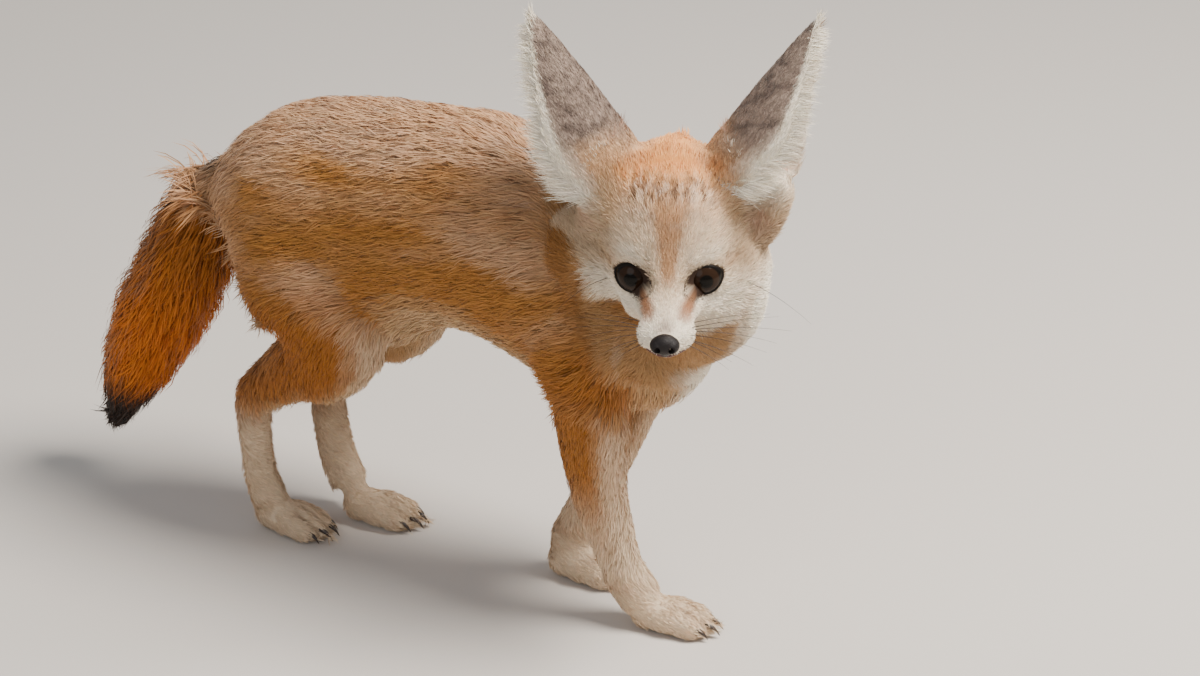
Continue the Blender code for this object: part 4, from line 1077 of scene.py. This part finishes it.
place, normal, weight, where = tuft_roots(co, tri, nor, weights, uv)
flow = lie(place, normal, weight)
long, high, wide = sizes(place, normal, weight)
tip = place + flow * (long * CLEAR_TO)[:, None]
clear = np.ones(len(place), bool)
for side in SIDES:
    clear &= (almond(place, side) > LID_ROOM[0]) & (almond(tip, side) > LID_ROOM[1])
nose_at = np.array(on_head(*NOSE_AT))
for points in (place, tip):
    q = (points - nose_at) @ HEAD.T / np.array(NOSE_SIZE)
    clear &= np.linalg.norm(q, axis=1) > NOSE_ROOM
clear &= place[:, 2] > FLOOR_ROOM
for point in MOUTH_LINE[3:]:
    for side in SIDES:
        corner = np.array(on_head(point[0], side * point[1], point[2]))
        clear &= np.linalg.norm(tip - corner, axis=1) > MOUTH_ROOM
place, normal, weight, where, flow, long, high, wide = (
    v[clear] for v in (place, normal, weight, where, flow, long, high, wide)
)
tints = markings(place + flow * (long * SEEN_AT)[:, None], normal, weight)
group = np.argmax(weight, axis=1)
bends = weight @ ROUND
# Each piece of the coat: name, groups, rows of points along a blade, record slot
PIECES = (
    ("coat_head", (0,), 3, "sand_coat"),
    ("coat_neck", (1,), 4, "sand_coat"),
    ("coat_body", (2,), 4, "sand_coat"),
    ("coat_tail", (3,), 5, "rust_coat"),
    ("coat_ears", (4,), 3, "ear_skin"),
    ("coat_legs", (5, 6), 4, "sand_coat"),
    ("coat_paws", (7, 8), 3, "cream_coat"),
)
for number, (name, groups, rows, slot) in enumerate(PIECES):
    chosen = np.nonzero(np.isin(group, groups))[0]
    chosen = chosen[np.argsort(place[chosen, 1], kind="stable")]
    most = MOST_TRIANGLES // (BLADES * (2 * rows - 3))
    chunks = max(1, math.ceil(len(chosen) / most))
    for k, part in enumerate(np.array_split(chosen, chunks)):
        made = blades(
            place[part], normal[part], flow[part], long[part], high[part], wide[part],
            tints[part], where[part], rows, 100 + number * 20 + k, hug=bends[part],
        )
        coat_piece(name if chunks == 1 else "%s_%d" % (name, k + 1), made, HAIR)


# Long hair within the ears
EAR_HAIR_HIGH = 0.0009
EAR_HAIR_WIDE = 0.0002


def ear_hair(side):
    """Long pale hair that grows inside an ear's front rim and fans out of its opening."""
    ear = EARS[side]
    rng = random.Random(40 + side)
    roots, ways, longs, ups = [], [], [], []
    for _ in range(EAR_TUFTS):
        t = 0.02 + 0.92 * rng.random() ** 1.1
        deep = rng.random() ** 1.6
        share = 1 - 0.42 * deep
        opening = ear.opening(t)
        across = ear.axis.cross(opening) * -side
        root = ear.skin(t, share)
        inward = (ear.centre(t) - root).normalized()
        root += inward * (0.0012 + 0.001 * deep)
        way = opening * rng.uniform(0.7, 1.0)
        way += ear.axis * (rng.uniform(0.1, 0.55) + 0.25 * (1 - t) ** 3)
        way += across * rng.uniform(-0.1, 0.1)
        roots.append(root)
        ways.append(way.normalized())
        longs.append((0.006 + 0.0165 * (1 - t) * (0.35 + 0.65 * deep)) * rng.uniform(0.7, 1.15))
        ups.append(inward)
    roots, ways, ups = np.array(roots), np.array(ways), np.array(ups)
    ups = unit(ups - ways * dot(ups, ways)[:, None])
    count = len(roots)
    tint = np.tile(np.array(WHITE), (count, 1))
    nearest = [int(np.argmin(((co[tri[:, 0]] - r) ** 2).sum(1))) for r in roots]
    return blades(
        roots, ups, ways, np.array(longs), np.full(count, EAR_HAIR_HIGH), np.full(count, EAR_HAIR_WIDE),
        tint, uv[nearest].mean(1), 5, 300 + side, spread=1.9, wild=1.2,
    )


for side, word in SIDES.items():
    coat_piece("ear_hair_" + word, ear_hair(side), HAIR)


# Eyes and lids
PUPIL_TINT = np.array((0.004, 0.003, 0.002))
IRIS_TINT = np.array((0.018, 0.008, 0.004))


def eye(side, word):
    """An eyeball, with its iris between the pupil's edge and a dark outer ring."""
    level, upright, axis, place = eye_frame(side)
    verts, faces = ball(place, (EYE_RADIUS,) * 3, (level, upright, axis), 40, 48)
    away = np.degrees([(v - place).normalized().angle(axis) for v in verts])
    iris = ease(away, 19, 22) * (1 - ease(away, 40, 47))
    tints = PUPIL_TINT + iris[:, None] * IRIS_TINT
    obj = mesh_object("eyeball_" + word, verts, faces, EYE)
    paint(obj.data, tints)
    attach(obj, "root")
    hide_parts("eye_" + word)


# Rings of the lids: degrees out from their edge, and rise above the eyeball
LID_RINGS = (
    (-5, -0.0002), (-1.5, 0.0002), (1.0, 0.00045), (4, 0.0005), (8, 0.0003), (16, -0.0004), (30, -0.0018),
)
LID_SIDES = 72
LID_DARK = np.array((0.006, 0.004, 0.003))
LID_COAT = np.array((0.2, 0.12, 0.07))


def lids(side, word):
    """The rounded edge of the lids, round the almond that they leave open."""
    level, upright, axis, place = eye_frame(side, LID_TILT, LID_TURN)
    half = (LID_LONG ** 2 / LID_HIGH + LID_HIGH) / 2
    apart = half - LID_HIGH
    verts, faces, tints = [], [], []
    for step, (extra, rise) in enumerate(LID_RINGS):
        for k in range(LID_SIDES):
            a = 2 * math.pi * k / LID_SIDES
            x = LID_LONG * math.cos(a)
            y = math.copysign(math.sqrt(max(half ** 2 - x ** 2, 0)) - apart, math.sin(a))
            y = 0.0 if abs(math.sin(a)) < 1e-6 else y
            reach = math.hypot(x, y)
            tilt = math.asin(min(reach / EYE_RADIUS, 0.94)) + math.radians(extra)
            out = (level * x + upright * y).normalized()
            verts.append(place + (axis * math.cos(tilt) + out * math.sin(tilt)) * (EYE_RADIUS + rise))
            tints.append(LID_DARK + (LID_COAT - LID_DARK) * float(ease(np.array(extra), 6, 18)))
        if step:
            low, high = (step - 1) * LID_SIDES, step * LID_SIDES
            for k in range(LID_SIDES):
                n = (k + 1) % LID_SIDES
                faces.append((low + k, low + n, high + n, high + k))
    obj = mesh_object("lids_" + word, verts, faces, LID)
    paint(obj.data, np.array(tints))
    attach(obj, "root")


for side, word in SIDES.items():
    eye(side, word)
    lids(side, word)


# Nose, mouth, claws, whiskers
def nose():
    axes = (FORWARD, LEFTWARD, UPWARD)
    f, _, u = NOSE_AT
    parts = [
        ball(on_head(*NOSE_AT), NOSE_SIZE, axes),
        ball(on_head(f - 0.0008, 0, u - 0.0034), (0.0032, 0.0026, 0.003), axes),
    ]
    for side in SIDES:
        parts.append(ball(on_head(f + 0.0002, side * 0.003, u - 0.0002), (0.0044, 0.0036, 0.0036), axes))
    obj = gathered("nose_pad", parts, None)
    voxels = obj.modifiers.new("voxels", "REMESH")
    voxels.mode = "VOXEL"
    voxels.voxel_size = 0.00035
    applied(obj)
    for side in SIDES:
        ahead = (FORWARD * 0.72 + LEFTWARD * side * 0.66).normalized()
        level = UPWARD.cross(ahead)
        hole = on_head(f + 0.004, side * 0.0031, u - 0.0006)
        verts, faces = ball(hole, (0.0034, 0.0012, 0.0016), (ahead, level, UPWARD))
        cutter = mesh_object("nostril", verts, faces)
        cut = obj.modifiers.new("cut", "BOOLEAN")
        cut.operation = "DIFFERENCE"
        cut.solver = "EXACT"
        cut.object = cutter
        applied(obj)
        bpy.data.objects.remove(cutter)
    smooth = obj.modifiers.new("smooth", "SMOOTH")
    smooth.iterations = 3
    applied(obj)
    obj.data.materials.clear()
    obj.data.materials.append(NOSE)
    obj.data.polygons.foreach_set("use_smooth", [True] * len(obj.data.polygons))
    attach(obj, "root")
    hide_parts("nose")


nose()
skin_tree = BVHTree.FromPolygons([Vector(v) for v in co], [tuple(int(i) for i in t) for t in tri])


def on_skin(point, above=0.0):
    spot, way, _, _ = skin_tree.find_nearest(point)
    return spot + way * above, way


line = [on_head(*p) for p in MOUTH_LINE] + [on_head(f, -l, u) for f, l, u in reversed(MOUTH_LINE[:-1])]
fine_line = []
for a, b in zip(line, line[1:]):
    fine_line += [on_skin(a.lerp(b, k / 4), 0.0007)[0] for k in range(4)]
reaches = [0.0007 * min(1, 0.3 + min(k, len(fine_line) - 1 - k) / 8) for k in range(len(fine_line))]
lips = gathered("lips", [tube(fine_line, reaches, 8)], LIP)
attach(lips, "root")

CLAW_LONG = 0.0072
CLAW_UP = 0.006
CLAW_RADII = (0.0012, 0.0012, 0.001, 0.0007, 0.0001)
parts = []
for (x, y), turn in PAWS.values():
    ahead = Vector((math.sin(math.radians(turn)), -math.cos(math.radians(turn)), 0))
    left = Vector((0, 0, 1)).cross(ahead)
    for aside, forward in TOES:
        root = Vector((x, y, 0)) + SHIFT + ahead * (forward + TOE_LONG * 0.45) + left * aside
        root += Vector((0, 0, CLAW_UP))
        path = []
        for s in (0, 0.25, 0.5, 0.75, 1):
            path.append(root + ahead * (CLAW_LONG * s) + Vector((0, 0, 0.0012 * s - 0.0058 * s * s)))
        parts.append(tube(path, CLAW_RADII, 10))
claws = gathered("claws", parts, CLAW)
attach(claws, "root")

WHISKER_RADIUS = 0.00017
# Length of the whiskers on the fox's right, as a share of those on its left
WHISKER_SHORTER = 0.74
# Each whisker: root, way out, length and droop
WHISKERS = (
    ((0.026, 0.01, -0.008), (-0.1, 1.0, 0.22), 0.04, 0.004),
    ((0.024, 0.0105, -0.01), (-0.15, 1.0, 0.05), 0.044, 0.006),
    ((0.022, 0.011, -0.012), (-0.2, 1.0, -0.08), 0.038, 0.007),
    ((0.0285, 0.009, -0.01), (0.1, 1.0, 0.00), 0.034, 0.006),
    ((0.027, 0.0095, -0.0125), (0.05, 1.0, -0.2), 0.028, 0.006),
    ((0.03, 0.008, -0.012), (0.25, 1.0, -0.3), 0.02, 0.004),
    ((0.02, 0.0105, -0.009), (-0.3, 1.0, 0.12), 0.036, 0.005),
    ((0.025, 0.0095, -0.014), (0.00, 1.0, -0.42), 0.02, 0.003),
    ((-0.012, 0.027, -0.006), (0.15, 1.0, -0.25), 0.036, 0.012),
)
parts = []
for (f, l, u), (wf, wl, wu), length, droop in WHISKERS:
    for side in SIDES:
        root, _ = on_skin(on_head(f, side * l, u), -0.0003)
        way = (FORWARD * wf + LEFTWARD * (side * wl) + UPWARD * wu).normalized()
        reach = length * (WHISKER_SHORTER if side < 0 else 1.0)
        path = [root + way * (reach * s) - UPWARD * (droop * s * s) for s in np.linspace(0, 1, 12)]
        parts.append(tube(path, [WHISKER_RADIUS * (1 - 0.8 * s) for s in np.linspace(0, 1, 12)], 5))
whiskers = gathered("whiskers", parts, WHISKER)
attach(whiskers, "root")

# Floor, light and camera
bpy.ops.mesh.primitive_plane_add(size=8, location=(0, 0, -0.0004))
floor = bpy.context.object
floor.name = "floor"
floor.data.materials.append(shader("floor", (0.62, 0.575, 0.53), 0.9))

world = bpy.data.worlds.new("studio")
bpy.context.scene.world = world
world.use_nodes = True
world.node_tree.nodes["Background"].inputs["Color"].default_value = (0.93, 0.96, 1.0, 1)
world.node_tree.nodes["Background"].inputs["Strength"].default_value = 0.42

CAM_RIGHT = Vector((0.5, -0.866025, 0.0))
CAM_UP = Vector((0.352244, 0.203368, 0.913545))
CAM_BACK = Vector((-0.791154, -0.456773, 0.406737))
CAM_PLACE = Vector((-1.4748, -0.9194, 0.8928)) + SHIFT


def softbox(name, way, distance, size, power, colour=(1, 1, 1)):
    light = bpy.data.lights.new(name, "AREA")
    light.shape = "DISK"
    light.size = size
    light.energy = power
    light.color = colour
    obj = bpy.data.objects.new(name, light)
    bpy.context.scene.collection.objects.link(obj)
    way = way.normalized()
    obj.location = Vector((0, -0.03, 0.15)) + way * distance
    obj.rotation_euler = way.to_track_quat("Z", "Y").to_euler()


softbox("key", CAM_RIGHT * 0.75 + CAM_BACK * 0.25 + Vector((0, 0, 1.15)), 1.6, 0.8, 62, (1.0, 0.95, 0.88))
softbox("fill", CAM_BACK - CAM_RIGHT * 0.5 + Vector((0, 0, 0.2)), 2.2, 1.6, 9, (0.95, 0.97, 1.0))

camera = bpy.data.objects.new("camera", bpy.data.cameras.new("camera"))
bpy.context.scene.collection.objects.link(camera)
camera.data.sensor_width = 36
camera.data.lens = 120.75
camera.data.clip_start = 0.05
turned = Matrix((CAM_RIGHT, CAM_UP, CAM_BACK)).transposed().to_4x4()
camera.matrix_world = Matrix.Translation(CAM_PLACE) @ turned
bpy.context.scene.camera = camera
